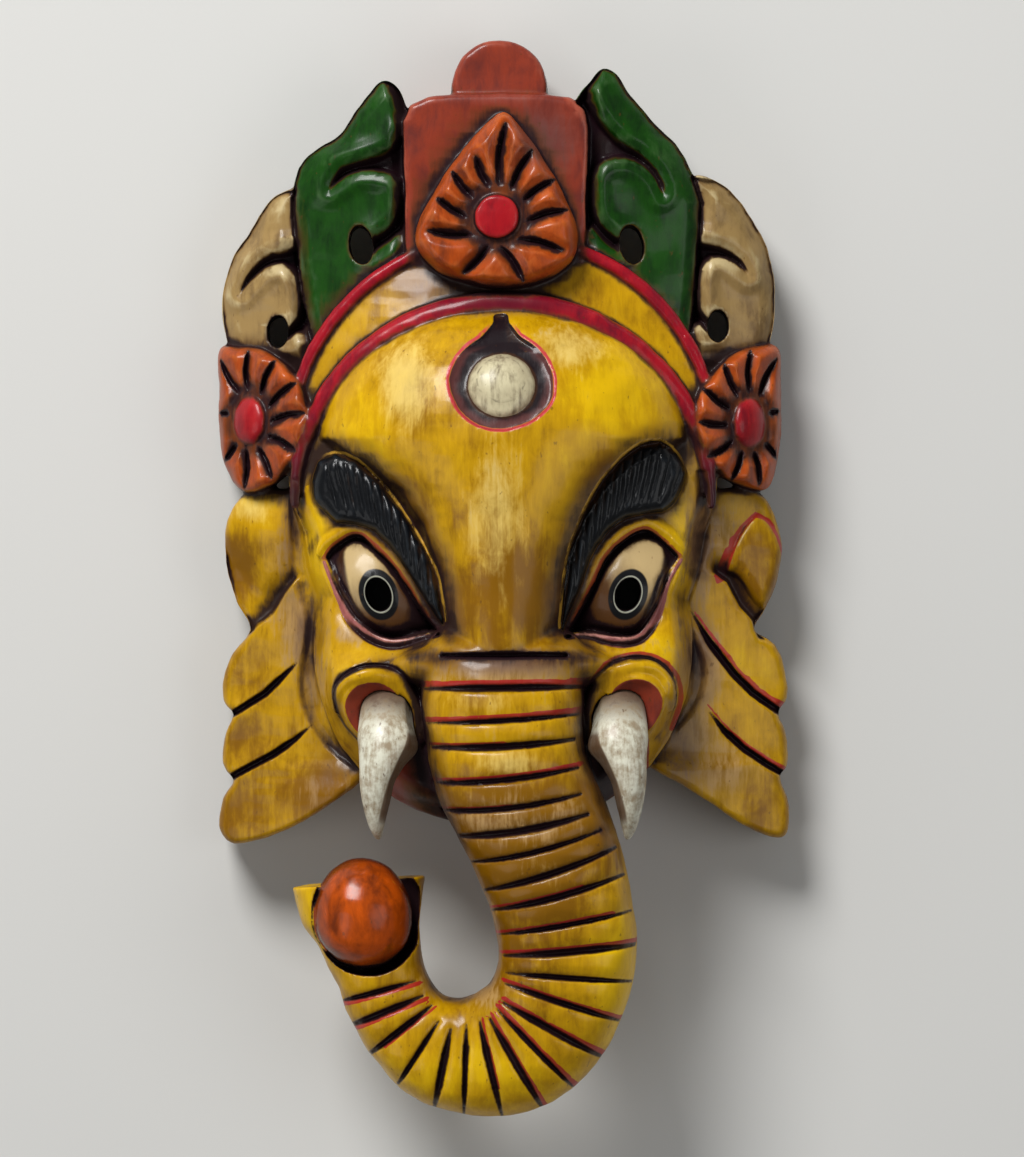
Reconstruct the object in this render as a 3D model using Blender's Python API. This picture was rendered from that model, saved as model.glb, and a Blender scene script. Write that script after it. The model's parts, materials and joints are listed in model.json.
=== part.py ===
# Carved and painted wooden mask of an elephant-headed deity, lying on its back.
# Frame: x to the viewer's right, y towards the crown, z out of the face; the flat back is at z = 0.
# The mask is one carving; the two tusks are separate pegs, seated in sockets in the cheeks.
import math

import bmesh
import bpy
from mathutils import Matrix, Vector

# Driving sizes, in metres
MASK_HEIGHT = 0.360
WALL = 0.014
PUPIL_HALF_WIDTH = 0.0040
PUPIL_HALF_HEIGHT = 0.0054
LEAF_HOLE_HALF_WIDTH = 0.0040
LEAF_HOLE_HALF_HEIGHT = 0.0066
OUTER_HOLE_HALF_WIDTH = 0.0036
OUTER_HOLE_HALF_HEIGHT = 0.0054
HANG_HOLE_RADIUS = 0.0035
HANG_HOLE_DEPTH = 0.012
TUSK_THICKNESS = 0.0165
TUSK_SEAT_GAP = 0.0003
BALL_RADIUS = 0.0172
CUP_GAP = 0.0024
BALL_ROOT = 0.003
GROOVE_WIDTH = 0.0026
GROOVE_DEPTH = 0.0019

# The carving is drawn in steps of a 360-step tall mask, y from the trunk's lowest point up
DRAWN_HEIGHT = 360.0
STEP = MASK_HEIGHT / DRAWN_HEIGHT
MIDDLE_X = 0.1
MIDDLE_Y = 180.5
PAST = 0.02

# Colours, linear
YELLOW = (0.52, 0.30, 0.012)
GREEN = (0.012, 0.10, 0.012)
CREAM = (0.36, 0.25, 0.12)
BRICK = (0.30, 0.055, 0.030)
ORANGE = (0.52, 0.11, 0.018)
RED = (0.48, 0.012, 0.014)
BLACK = (0.010, 0.012, 0.014)
IVORY = (0.62, 0.58, 0.46)

HEAD_MIDDLE = (0.0, 195.0)
HEAD_REACH = [
    (-90, 98), (-73, 97), (-62, 94), (-52, 89), (-35, 77), (-20, 65.5),
    (0, 67), (30, 82.3), (60, 95.2), (90, 100),
]
BAND_MIDDLE = (0.0, 222.7)
BAND_RADIUS = 71.4
BEAD_MIDDLE = (0.0, 206.0)
BEAD_HALF_WIDTH = 69.5
BEAD_HALF_HEIGHT = 66.0
PEAK = 82.0
FACE_LEVEL = 60.0

# Half width of the forehead's bulge from the bridge (bottom) to the temples
BULGE_WIDTHS = [
    (150, 15), (156, 17), (166, 20), (173, 21), (186, 23.5), (199, 28.5),
    (209, 36), (217, 46), (222, 55), (227, 61),
]
BULGE_TOP = 226.0
BULGE_TOP_REACH = 44.0
BRIDGE_END = 153.0

EYE = (41.5, 174.5)
# Each row of a brow: a point on its upper edge, one on its lower edge and its height over the face
BROW = [
    (-64.2, 212, -63.6, 206, 0.5), (-61.5, 219.5, -60.5, 201.5, 3.6), (-52.5, 222.5, -53.5, 198, 5.2),
    (-43.5, 218.5, -46, 197.5, 5.6), (-35, 210.5, -38, 192.5, 5.6), (-27.5, 199.5, -31.5, 184.5, 5.2),
    (-22.5, 186, -26, 176.5, 4.4), (-20, 173, -22.2, 170, 2.6),
]
BROW_DEPTH = 5.0
UPPER_LID = [(-19.5, 160), (-26, 171.5), (-32.5, 182.5), (-39.5, 190.5), (-48, 194), (-58.5, 185.5)]
LOWER_LID = [(-58.5, 185.5), (-55, 176), (-51, 168), (-45, 162), (-37, 158.5), (-29, 159), (-19.5, 160)]
POCKET = (42.3, 137.0)
POCKET_ARCH = [(-52, 125), (-55.2, 134), (-53, 143), (-45.5, 149.5), (-37, 148), (-30.5, 140), (-27.8, 128)]

PETAL = [
    (0.5, 335), (9, 326), (17.5, 312.5), (23, 301), (25, 291.5), (21.5, 284), (12.5, 278.5), (0.5, 276.5),
    (-11, 278), (-22.5, 282.5), (-28.5, 290), (-28, 298.5), (-22.5, 309.5), (-15, 320), (-7, 329.5),
]
PETAL_HEART = (-2.0, 300.0)
LEFT_ROSETTE = [
    (-95.5, 257), (-87.5, 257.5), (-80.5, 256.5), (-71.5, 250.5), (-66, 241.5), (-64.5, 232),
    (-67.5, 221), (-75.5, 212), (-85.5, 208.5), (-91.5, 213.5), (-95.2, 224.5), (-95.7, 241),
]
LEFT_ROSETTE_HEART = (-85.0, 233.0)
RIGHT_ROSETTE = [
    (92.5, 257.5), (84, 257.5), (75, 253.5), (67, 244.5), (63.5, 234.5), (65.5, 222.5),
    (73.5, 213.5), (87.5, 209.5), (92, 217.5), (93.5, 229.5), (93.5, 246),
]
RIGHT_ROSETTE_HEART = (82.5, 232.0)

BLOCK = [
    (-33.5, 332.5), (-31, 338), (-25, 340.5), (-17.5, 341.5), (15, 341.5), (22.5, 340.5),
    (27.5, 336.5), (29, 330), (27.5, 284), (-32.5, 284),
]
KNOB_MIDDLE = (-1.2, 344.0)
KNOB_RADIUS = 16.0
LEFT_LEAF = [
    (-40, 346.5), (-35.5, 344), (-32.5, 338), (-27, 322.5), (-26, 283), (-48, 268), (-63, 254),
    (-67.5, 272.5), (-69.5, 289.5), (-70.5, 306), (-68.5, 317.5), (-61.5, 324), (-54.5, 328.5),
    (-49.5, 336), (-44.5, 342.5),
]
RIGHT_LEAF = [
    (33.5, 350.5), (38, 348.5), (42.5, 342), (49.5, 333.5), (57.5, 325.5), (63, 316.5), (66.5, 306),
    (65.5, 289.5), (64.5, 272.5), (61.5, 254), (46, 268), (23, 283), (22.5, 306), (24, 337), (29.5, 346.5),
]
LEFT_CURL = [(-59, 312), (-52, 317.5), (-43, 317), (-35.5, 311), (-34.5, 298), (-41, 293.5), (-48, 299), (-57, 300)]
RIGHT_CURL = [(31.5, 298), (31, 309), (38, 317.5), (47, 317.5), (53.5, 311), (52.5, 301), (44, 299), (38, 292.5)]
LEFT_NOTCH = [(-60, 309), (-55, 317), (-47, 322), (-37, 322.5), (-30, 320), (-30, 327), (-38, 326), (-48, 325), (-57, 319)]
RIGHT_NOTCH = [(24, 330), (24, 318), (31, 317), (38, 321.5), (47, 321), (54, 314), (57, 306), (55.5, 317), (47, 325), (37, 325.5)]
LEAF_HOLES = [(-47.5, 291.5), (43.0, 291.5)]
LEFT_OUTER_LEAF = [
    (-66, 310), (-74.5, 309), (-79.5, 305), (-85, 296.5), (-90.5, 288.5), (-94, 277.5), (-94.5, 266.5),
    (-91.5, 256), (-89, 248), (-64, 248), (-62, 260), (-64, 289.5),
]
RIGHT_OUTER_LEAF = [
    (63, 314), (73, 312.5), (78.5, 307.5), (85, 298.5), (89.5, 288.5), (91.5, 276), (90.5, 262.5),
    (87.5, 254), (86, 248), (62, 248), (60, 259.5), (61, 292.5),
]
OUTER_HOLES = [(-75.5, 262.5), (72.0, 264.5)]
LEFT_OUTER_NOTCH = [(-87, 279), (-82, 285), (-74, 288), (-66, 286), (-66, 291), (-74, 291), (-83, 288)]
RIGHT_OUTER_NOTCH = [(62, 291), (62, 286), (70, 287.5), (78, 284), (83, 276), (82.5, 285), (76, 289.5), (69, 291.5)]

LEFT_EAR = [
    (-74, 210), (-84, 209.5), (-89.5, 205.5), (-93.5, 196), (-92.8, 183), (-89, 171), (-85, 162.5),
    (-91, 154.5), (-94.3, 145.5), (-94, 138), (-90.5, 134), (-93.5, 127.5), (-94.3, 117.5), (-90.5, 111.8),
    (-94.3, 106), (-95.3, 96), (-90.5, 90.5), (-79.5, 93), (-67.5, 98), (-56, 105.5), (-47, 113),
    (-40, 125), (-48, 160), (-55, 205),
]
RIGHT_EAR = [
    (74, 210), (84.5, 209.5), (91, 202), (94, 189.5), (91.5, 177.5), (87.5, 168.5), (84.5, 162.5),
    (91.5, 157.5), (95.5, 146), (95.5, 139.5), (92.5, 134.5), (95.3, 127.5), (95.8, 117.5), (93, 113),
    (96, 106), (96.3, 97.5), (93.3, 92.5), (80.5, 97), (65.5, 107.5), (50.5, 116),
    (40, 125), (48, 160), (55, 205),
]
EAR_FOLDS = {"left": [((-95, 131), (-68.5, 152.5)), ((-95, 109), (-63.5, 130))],
             "right": [((98, 131.5), (64, 168)), ((98, 110), (70, 136))]}
EAR_SCOOPS = [(-85.5, 176.0), (86.0, 176.0)]

# Each row of the trunk: a point on its outer edge, one on its inner edge, its front level and half depth
TRUNK = [
    (19, 166, -19, 166, 66, 10), (26.5, 157, -26, 157, 80, 20), (26.5, 148, -26.6, 148, 84, 24),
    (26.5, 139.5, -27, 139.5, 86, 24), (27.3, 122.5, -25, 122.5, 87.5, 24.6), (34, 106, -21, 106, 88, 24.4),
    (39.5, 89.5, -12.5, 89.5, 87.5, 23), (43, 72.5, -5, 72.5, 85, 22), (44.5, 56, -1.5, 57, 81, 21),
    (41.5, 39.5, -3.5, 46.5, 78, 20.5), (33.5, 22, -8, 42.4, 75.5, 20), (19.5, 7.5, -12.5, 40.6, 73, 19.5),
    (2.5, 0.5, -16, 40.2, 70.5, 19), (-16, 2, -19.5, 41, 69, 18.5), (-32, 8.5, -22.5, 43.5, 68, 18),
    (-43.5, 20.5, -24.6, 47, 68, 17.5), (-51, 33.5, -26.3, 51.5, 68.5, 17), (-55.5, 45, -27.4, 57, 69, 17),
    (-61.5, 57, -27.6, 64.5, 70, 17.5), (-67.5, 67, -27, 74, 71, 18), (-70, 77, -25.8, 81, 71, 18),
]
TRUNK_SQUARENESS = 2.6
GROOVES = 23
FIRST_GROOVE = 22.0
LAST_GROOVE_BEFORE_END = 24.0
BALL = (-46.5, 68.5)
CUP_SHIFT = (0.8, -0.8)
BALL_LEVEL = 61.0

# A tusk's centreline: x, y, z, half width across, half thickness as a share of the tusk's
TUSK = [
    (-38.0, 143.0, 47, 6.0, 0.62), (-38.6, 139.0, 54, 8.0, 0.85), (-38.8, 132.0, 62, 9.0, 1.0),
    (-38.8, 125.5, 67, 9.4, 1.0), (-40.2, 118.5, 69.5, 7.6, 0.88), (-41.6, 111.5, 70, 5.9, 0.72),
    (-42.0, 104.0, 69, 4.2, 0.54), (-41.8, 97.5, 67, 2.5, 0.36), (-41.3, 94.0, 65.5, 1.1, 0.18),
]


def smooth(edge0, edge1, value):
    """0 before edge0, 1 past edge1, with an easy slope between."""
    share = min(1.0, max(0.0, (value - edge0) / (edge1 - edge0)))
    return share * share * (3 - 2 * share)


def between(table, key):
    """The value at key in a table of (key, value) rows, along a curve through the rows."""
    if key <= table[0][0]:
        return table[0][1]
    for low, high in zip(table, table[1:]):
        if key <= high[0]:
            share = (key - low[0]) / (high[0] - low[0])
            return low[1] + (high[1] - low[1]) * share
    return table[-1][1]


def through(points, per_span, closed=False):
    """Points on a Catmull-Rom curve through the given ones."""
    count = len(points)
    spans = count if closed else count - 1
    made = []
    for i in range(spans):
        ring = [points[j % count] if closed else points[min(max(j, 0), count - 1)] for j in range(i - 1, i + 3)]
        for k in range(per_span):
            t = k / per_span
            made.append(tuple(
                0.5 * (2 * b + (c - a) * t + (2 * a - 5 * b + 4 * c - d) * t ** 2 + (3 * b - a - 3 * c + d) * t ** 3)
                for a, b, c, d in zip(*ring)
            ))
    return made if closed else made + [tuple(points[-1])]


def head_reach(angle):
    """How far the head's outline lies from its middle at an angle; both sides are alike."""
    degrees = math.degrees(math.asin(math.sin(angle)))
    return between(HEAD_REACH, degrees)


def base_level(x, y):
    """The face's broad surface, which falls off to the sides and towards the crown."""
    return FACE_LEVEL - 14 * (x / 64) ** 2 - 9 * (max(0.0, y - 215) / 60) ** 2


def head_level(x, y):
    """The carved front of the head: forehead, bridge, eye sockets and cheeks."""
    side = abs(x)
    if y > BULGE_TOP:
        off = math.hypot(side / BULGE_WIDTHS[-1][1], (y - BULGE_TOP) / BULGE_TOP_REACH)
    else:
        off = side / between(BULGE_WIDTHS, y)
    bulge = max(0.0, 1 - off * off) ** 0.55 * (PEAK - FACE_LEVEL) * smooth(BRIDGE_END - 1.5, BRIDGE_END + 2.5, y)
    socket = 5.5 * math.exp(-(((side - EYE[0]) / 14) ** 2 + ((y - EYE[1]) / 15) ** 2))
    cheek = 14 * math.exp(-(((side - 47) / 15) ** 2 + ((y - 141) / 17) ** 2))
    away = math.hypot(side - HEAD_MIDDLE[0], y - HEAD_MIDDLE[1])
    edge = away / head_reach(math.atan2(y - HEAD_MIDDLE[1], side))
    rounding = 11 * smooth(0.90, 1.02, edge) * smooth(225, 190, y)
    return base_level(x, y) + bulge - socket + cheek - rounding


def sloped(level, lean, foot=0.0, keel=0.0):
    """A front surface that falls away from the middle by lean for each step sideways beyond foot."""
    return lambda x, y: level - lean * max(0.0, abs(x) - foot) - keel * (y - MIDDLE_Y)


def paint(name, colour, roughness=0.35):
    material = bpy.data.materials.new(name)
    material.use_nodes = True
    shader = material.node_tree.nodes["Principled BSDF"]
    shader.inputs["Base Color"].default_value = (*colour, 1)
    shader.inputs["Roughness"].default_value = roughness
    shader.inputs["Metallic"].default_value = 0.0
    material.diffuse_color = (*colour, 1)
    return material


def real(x, y, z):
    """A drawn point as a real place, with the mask's middle over the origin."""
    return Vector(((x - MIDDLE_X) * STEP, (y - MIDDLE_Y) * STEP, z * STEP))


def finished(name, work, material, collection, helper=True):
    """Makes an object from a bmesh whose points are drawn steps."""
    for vertex in work.verts:
        vertex.co = real(*vertex.co)
    bmesh.ops.remove_doubles(work, verts=work.verts, dist=0.00001)
    bmesh.ops.recalc_face_normals(work, faces=work.faces)
    mesh = bpy.data.meshes.new(name)
    work.to_mesh(mesh)
    work.free()
    mesh.materials.append(material)
    made = bpy.data.objects.new(name, mesh)
    collection.objects.link(made)
    made.hide_render = helper
    if helper:
        made.display_type = "WIRE"
    return made


def plate(name, outline, front, thickness, edge, material, collection):
    """A flat outline with rounded edges, bent so that its front follows a surface."""
    curve = bpy.data.curves.new(name, "CURVE")
    curve.dimensions = "2D"
    curve.fill_mode = "BOTH"
    curve.extrude = thickness / 2 - edge
    curve.bevel_depth = edge
    curve.bevel_resolution = 0
    curve.offset = -edge
    spline = curve.splines.new("POLY")
    spline.points.add(len(outline) - 1)
    for point, (x, y) in zip(spline.points, outline):
        point.co = (x, y, 0, 1)
    spline.use_cyclic_u = True
    flat = bpy.data.objects.new(name + "_outline", curve)
    collection.objects.link(flat)
    bpy.context.view_layer.update()
    solid = bpy.data.meshes.new_from_object(flat.evaluated_get(bpy.context.evaluated_depsgraph_get()))
    bpy.data.objects.remove(flat)
    work = bmesh.new()
    work.from_mesh(solid)
    bmesh.ops.remove_doubles(work, verts=work.verts, dist=0.01)
    for vertex in work.verts:
        vertex.co.z = front(vertex.co.x, vertex.co.y) + vertex.co.z - thickness / 2
    return finished(name, work, material, collection)


def ball_of_rings(sides, rings):
    """A sphere whose every vertex is tagged with its ring, from 0 at one pole, and its angle."""
    work = bmesh.new()
    bmesh.ops.create_uvsphere(work, u_segments=sides, v_segments=rings, radius=1)
    tagged = []
    for vertex in work.verts:
        ring = round(math.acos(min(1.0, max(-1.0, vertex.co.z))) / math.pi * rings)
        tagged.append((vertex, ring, math.atan2(vertex.co.y, vertex.co.x)))
    return work, tagged


def ellipsoid(name, middle, radii, material, collection, sides=16, rings=10, turn=0.0):
    work, tagged = ball_of_rings(sides, rings)
    bmesh.ops.scale(work, vec=radii, verts=work.verts)
    bmesh.ops.rotate(work, matrix=Matrix.Rotation(turn, 3, "Z"), verts=work.verts)
    bmesh.ops.translate(work, vec=middle, verts=work.verts)
    return finished(name, work, material, collection)


def post(name, middle, half_width, half_height, low, high, material, collection, sides=16, turn=0.0, top=1.0):
    """An upright cylinder with an oval section, in drawn steps."""
    work = bmesh.new()
    bmesh.ops.create_cone(work, cap_ends=True, segments=sides, radius1=1, radius2=top, depth=high - low)
    bmesh.ops.scale(work, vec=(half_width, half_height, 1), verts=work.verts)
    bmesh.ops.rotate(work, matrix=Matrix.Rotation(turn, 3, "Z"), verts=work.verts)
    bmesh.ops.translate(work, vec=(*middle, (low + high) / 2), verts=work.verts)
    return finished(name, work, material, collection)


def tube(name, path, radius, material, collection, closed=False, resolution=1):
    """A round bead along points, each with its own share of the radius."""
    curve = bpy.data.curves.new(name, "CURVE")
    curve.dimensions = "3D"
    curve.bevel_depth = radius
    curve.bevel_resolution = resolution
    curve.use_fill_caps = True
    spline = curve.splines.new("POLY")
    spline.points.add(len(path) - 1)
    for point, (x, y, z, share) in zip(spline.points, path):
        point.co = (x, y, z, 1)
        point.radius = share
    spline.use_cyclic_u = closed
    guide = bpy.data.objects.new(name + "_line", curve)
    collection.objects.link(guide)
    bpy.context.view_layer.update()
    solid = bpy.data.meshes.new_from_object(guide.evaluated_get(bpy.context.evaluated_depsgraph_get()))
    bpy.data.objects.remove(guide)
    work = bmesh.new()
    work.from_mesh(solid)
    return finished(name, work, material, collection)


def head(name, material, collection):
    """A grid laid over the head's outline, raised to the carved front and closed by a flat back."""
    across, up = 20, 24
    work = bmesh.new()
    bmesh.ops.create_grid(work, x_segments=across, y_segments=up, size=1)
    for vertex in work.verts:
        s, t = vertex.co.x, vertex.co.y
        u = s * math.sqrt(1 - t * t / 2)
        v = t * math.sqrt(1 - s * s / 2)
        angle = math.atan2(v, u)
        reach = head_reach(angle) * math.hypot(u, v)
        vertex.co.x = HEAD_MIDDLE[0] + reach * math.cos(angle)
        vertex.co.y = HEAD_MIDDLE[1] + reach * math.sin(angle)
        vertex.co.z = head_level(vertex.co.x, vertex.co.y)
    skirt = bmesh.ops.extrude_edge_only(work, edges=[e for e in work.edges if e.is_boundary])
    hem = [v for v in skirt["geom"] if isinstance(v, bmesh.types.BMVert)]
    for vertex in hem:
        vertex.co.z = 0
    bmesh.ops.contextual_create(work, geom=[e for e in skirt["geom"] if isinstance(e, bmesh.types.BMEdge)])
    return finished(name, work, material, collection)


def hollow(name, material, collection):
    """The scoop behind the face, which leaves the wall's thickness at the rim and at the forehead."""
    wall = WALL / STEP
    depth = FACE_LEVEL - wall
    below = 3.0
    sides, rings = 20, 8
    work, tagged = ball_of_rings(sides, rings)
    for vertex, ring, angle in tagged:
        share = math.sin(math.pi * ring / rings)
        reach = (head_reach(angle) - wall) * share
        vertex.co.x = HEAD_MIDDLE[0] + reach * math.cos(angle)
        vertex.co.y = HEAD_MIDDLE[1] + reach * math.sin(angle)
        if ring < rings / 2:
            raised = 17 * math.exp(-((vertex.co.x / 34) ** 2 + ((vertex.co.y - 236) / 34) ** 2))
            vertex.co.z = (depth + below) * max(0.0, 1 - share * share) ** 0.6 - below + raised
        else:
            vertex.co.z = -below - PAST / STEP * math.cos(math.pi * (1 - ring / rings))
    return finished(name, work, material, collection)


def reach_to(outline, middle, angle):
    """How far an outline lies from a point inside it, along an angle."""
    direction = Vector((math.cos(angle), math.sin(angle)))
    farthest = 0.0
    for start, end in zip(outline, outline[1:] + outline[:1]):
        a = Vector(start) - Vector(middle)
        b = Vector(end) - Vector(middle)
        span = b - a
        cross = direction.x * span.y - direction.y * span.x
        if abs(cross) < 1e-9:
            continue
        along = (a.x * span.y - a.y * span.x) / cross
        share = (a.x * direction.y - a.y * direction.x) / cross
        if -1e-6 <= share <= 1 + 1e-6 and along > farthest:
            farthest = along
    return farthest


def rosette(name, outline, heart, front, thickness, petals, material, collection):
    """A lotus with creases between its petals, on rings from the heart out to a rounded edge."""
    # Each ring: its share of the outline's reach, its drop below the front, and its share of the crease
    rings = [(0.0, 1.2, 0), (0.34, 1.2, 0.2), (0.55, 0.3, 1), (0.84, 0.2, 0.9), (0.96, 2.2, 0.3),
             (1.0, 5.5, 0), (1.0, thickness, 0), (0.0, thickness, 0)]
    around = petals * 2
    curved = through(outline, 2, closed=True)
    work, tagged = ball_of_rings(around, len(rings) - 1)
    crease = GROOVE_DEPTH / STEP
    for vertex, ring, angle in tagged:
        share, drop, creased = rings[ring]
        spoke = round(angle / (2 * math.pi) * around)
        reach = reach_to(curved, heart, angle) * share
        vertex.co.x = heart[0] + reach * math.cos(angle)
        vertex.co.y = heart[1] + reach * math.sin(angle)
        vertex.co.z = front(vertex.co.x, vertex.co.y) - drop - crease * creased * (spoke % 2)
    return finished(name, work, material, collection)


def share_at(lengths, distance):
    """Where a distance falls along rows, as a row's number and a share of the way to the next."""
    for i in range(len(lengths) - 1):
        if distance <= lengths[i + 1]:
            return i + (distance - lengths[i]) / (lengths[i + 1] - lengths[i])
    return float(len(lengths) - 1)


def along(rows, place):
    """The row at a place between rows."""
    low = min(int(place), len(rows) - 2)
    return [a + (b - a) * (place - low) for a, b in zip(rows[low], rows[low + 1])]


def between_edges(name, rows, places, squareness, sides, material, collection):
    """A bar swept between two drawn edges; each place holds a share along the rows and a cut into the front."""
    work, tagged = ball_of_rings(sides, len(places) + 1)
    for vertex, ring, angle in tagged:
        place, cut = places[min(max(ring - 1, 0), len(places) - 1)]
        outer_x, outer_y, inner_x, inner_y, front, half_depth = along(rows, place)
        out, rise = 0.0, 0.0
        if 0 < ring < len(places) + 1:
            power = 2 / squareness
            out = math.copysign(abs(math.cos(angle)) ** power, math.cos(angle))
            rise = math.copysign(abs(math.sin(angle)) ** power, math.sin(angle)) * half_depth
            rise -= cut * smooth(0.1, 0.6, math.sin(angle))
        vertex.co.x = (outer_x + inner_x) / 2 + (outer_x - inner_x) / 2 * out
        vertex.co.y = (outer_y + inner_y) / 2 + (outer_y - inner_y) / 2 * out
        vertex.co.z = front - half_depth + rise
    return finished(name, work, material, collection)


def trunk(name, material, collection):
    """The grooved trunk, swept between its edges, with a flat end where the cup is cut."""
    rows = through(TRUNK, 5)
    middles = [((r[0] + r[2]) / 2, (r[1] + r[3]) / 2) for r in rows]
    lengths = [0.0]
    for a, b in zip(middles, middles[1:]):
        lengths.append(lengths[-1] + math.dist(a, b))
    full = lengths[-1]
    half_groove = GROOVE_WIDTH / STEP / 2
    depth = GROOVE_DEPTH / STEP
    spacing = (full - FIRST_GROOVE - LAST_GROOVE_BEFORE_END) / (GROOVES - 1)
    distances = [(0.0, 0.0), (9.0, 0.0)]
    for i in range(GROOVES):
        middle = FIRST_GROOVE + i * spacing
        distances += [(middle - half_groove, 0.0), (middle, depth), (middle + half_groove, 0.0)]
    distances += [(full - 13, 0.0), (full - 5, 0.0), (full, 0.0)]
    places = [(share_at(lengths, distance), cut) for distance, cut in distances]
    return between_edges(name, rows, places, TRUNK_SQUARENESS, 10, material, collection)


def brow(name, way, material, collection):
    """A thick brow, flatter than it is wide, laid over the face between its two edges."""
    rows = []
    for upper_x, upper_y, lower_x, lower_y, height in through(BROW, 2):
        level = base_level((upper_x + lower_x) / 2, (upper_y + lower_y) / 2)
        rows.append((upper_x * -way, upper_y, lower_x * -way, lower_y, level + height, BROW_DEPTH + height / 2))
    places = [(float(i), 0.0) for i in range(len(rows))]
    return between_edges(name, rows, places, 2.6, 8, material, collection)


def tusk(name, side, grow, material, collection, helper):
    """A horn from its root in the cheek to its tip; grow widens it all round, for its seat."""
    grown = grow / STEP
    stations = through(TUSK, 2)
    sides = 10
    work, tagged = ball_of_rings(sides, len(stations) + 1)
    half_thick = TUSK_THICKNESS / STEP / 2
    for vertex, ring, angle in tagged:
        i = min(max(ring - 1, 0), len(stations) - 1)
        x, y, z, half_width, share = stations[i]
        ahead, behind = stations[min(i + 1, len(stations) - 1)], stations[max(i - 1, 0)]
        heading = (Vector(ahead[:3]) - Vector(behind[:3])).normalized()
        across = Vector((1, 0, 0))
        across = (across - heading * across.dot(heading)).normalized()
        up = across.cross(heading)
        middle = Vector((x, y, z))
        if ring == 0:
            vertex.co = middle - heading * (1.5 + grown)
        elif ring == len(stations) + 1:
            vertex.co = middle + heading * (0.9 + grown)
        else:
            vertex.co = (middle + across * math.cos(angle) * (half_width + grown)
                         + up * math.sin(angle) * (half_thick * share + grown))
        vertex.co.x *= -side
    return finished(name, work, material, collection, helper)


def on_surface(points, level, lift, shares):
    """A path over a surface, from drawn points, with a share of the radius at each."""
    return [(x, y, level(x, y) + lift, share) for (x, y), share in zip(points, shares)]


def arc(middle, half_width, half_height, start, end, count):
    return [
        (middle[0] + half_width * math.cos(math.radians(start + (end - start) * i / count)),
         middle[1] + half_height * math.sin(math.radians(start + (end - start) * i / count)))
        for i in range(count + 1)
    ]


def taper(count, thin):
    """Shares of a radius that swell from thin ends to a full middle."""
    return [thin + (1 - thin) * max(0.0, math.sin(math.pi * i / (count - 1))) ** 0.6 for i in range(count)]


def mirrored(points):
    return [(-x, y) for x, y in reversed(points)]


def fold(name, line, front, depth, half_width, material, collection):
    """A cutter for a carved slit that runs in from an edge and narrows to nothing."""
    start, end = Vector(line[0]), Vector(line[1])
    along_line = end - start
    aside = Vector((-along_line.y, along_line.x)).normalized()
    outline = [start + aside * half_width, start - aside * half_width]
    outline += [start + along_line * 0.6 - aside * half_width * 1.1, end]
    outline += [start + along_line * 0.6 + aside * half_width * 0.9]
    work = bmesh.new()
    rim = [work.verts.new((p.x, p.y, front(p.x, p.y) - depth)) for p in outline]
    sheet = work.faces.new(rim)
    raised = bmesh.ops.extrude_face_region(work, geom=[sheet])
    for vertex in raised["geom"]:
        if isinstance(vertex, bmesh.types.BMVert):
            vertex.co.z += depth * 4
    return finished(name, work, material, collection)


def notch(name, outline, front, depth, material, collection):
    """A cutter for a sunk area, its floor a set depth below the surface."""
    work = bmesh.new()
    rim = [work.verts.new((x, y, front(x, y) - depth)) for x, y in outline]
    sheet = work.faces.new(rim)
    raised = bmesh.ops.extrude_face_region(work, geom=[sheet])
    for vertex in raised["geom"]:
        if isinstance(vertex, bmesh.types.BMVert):
            vertex.co.z += depth * 4
    return finished(name, work, material, collection)


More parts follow.
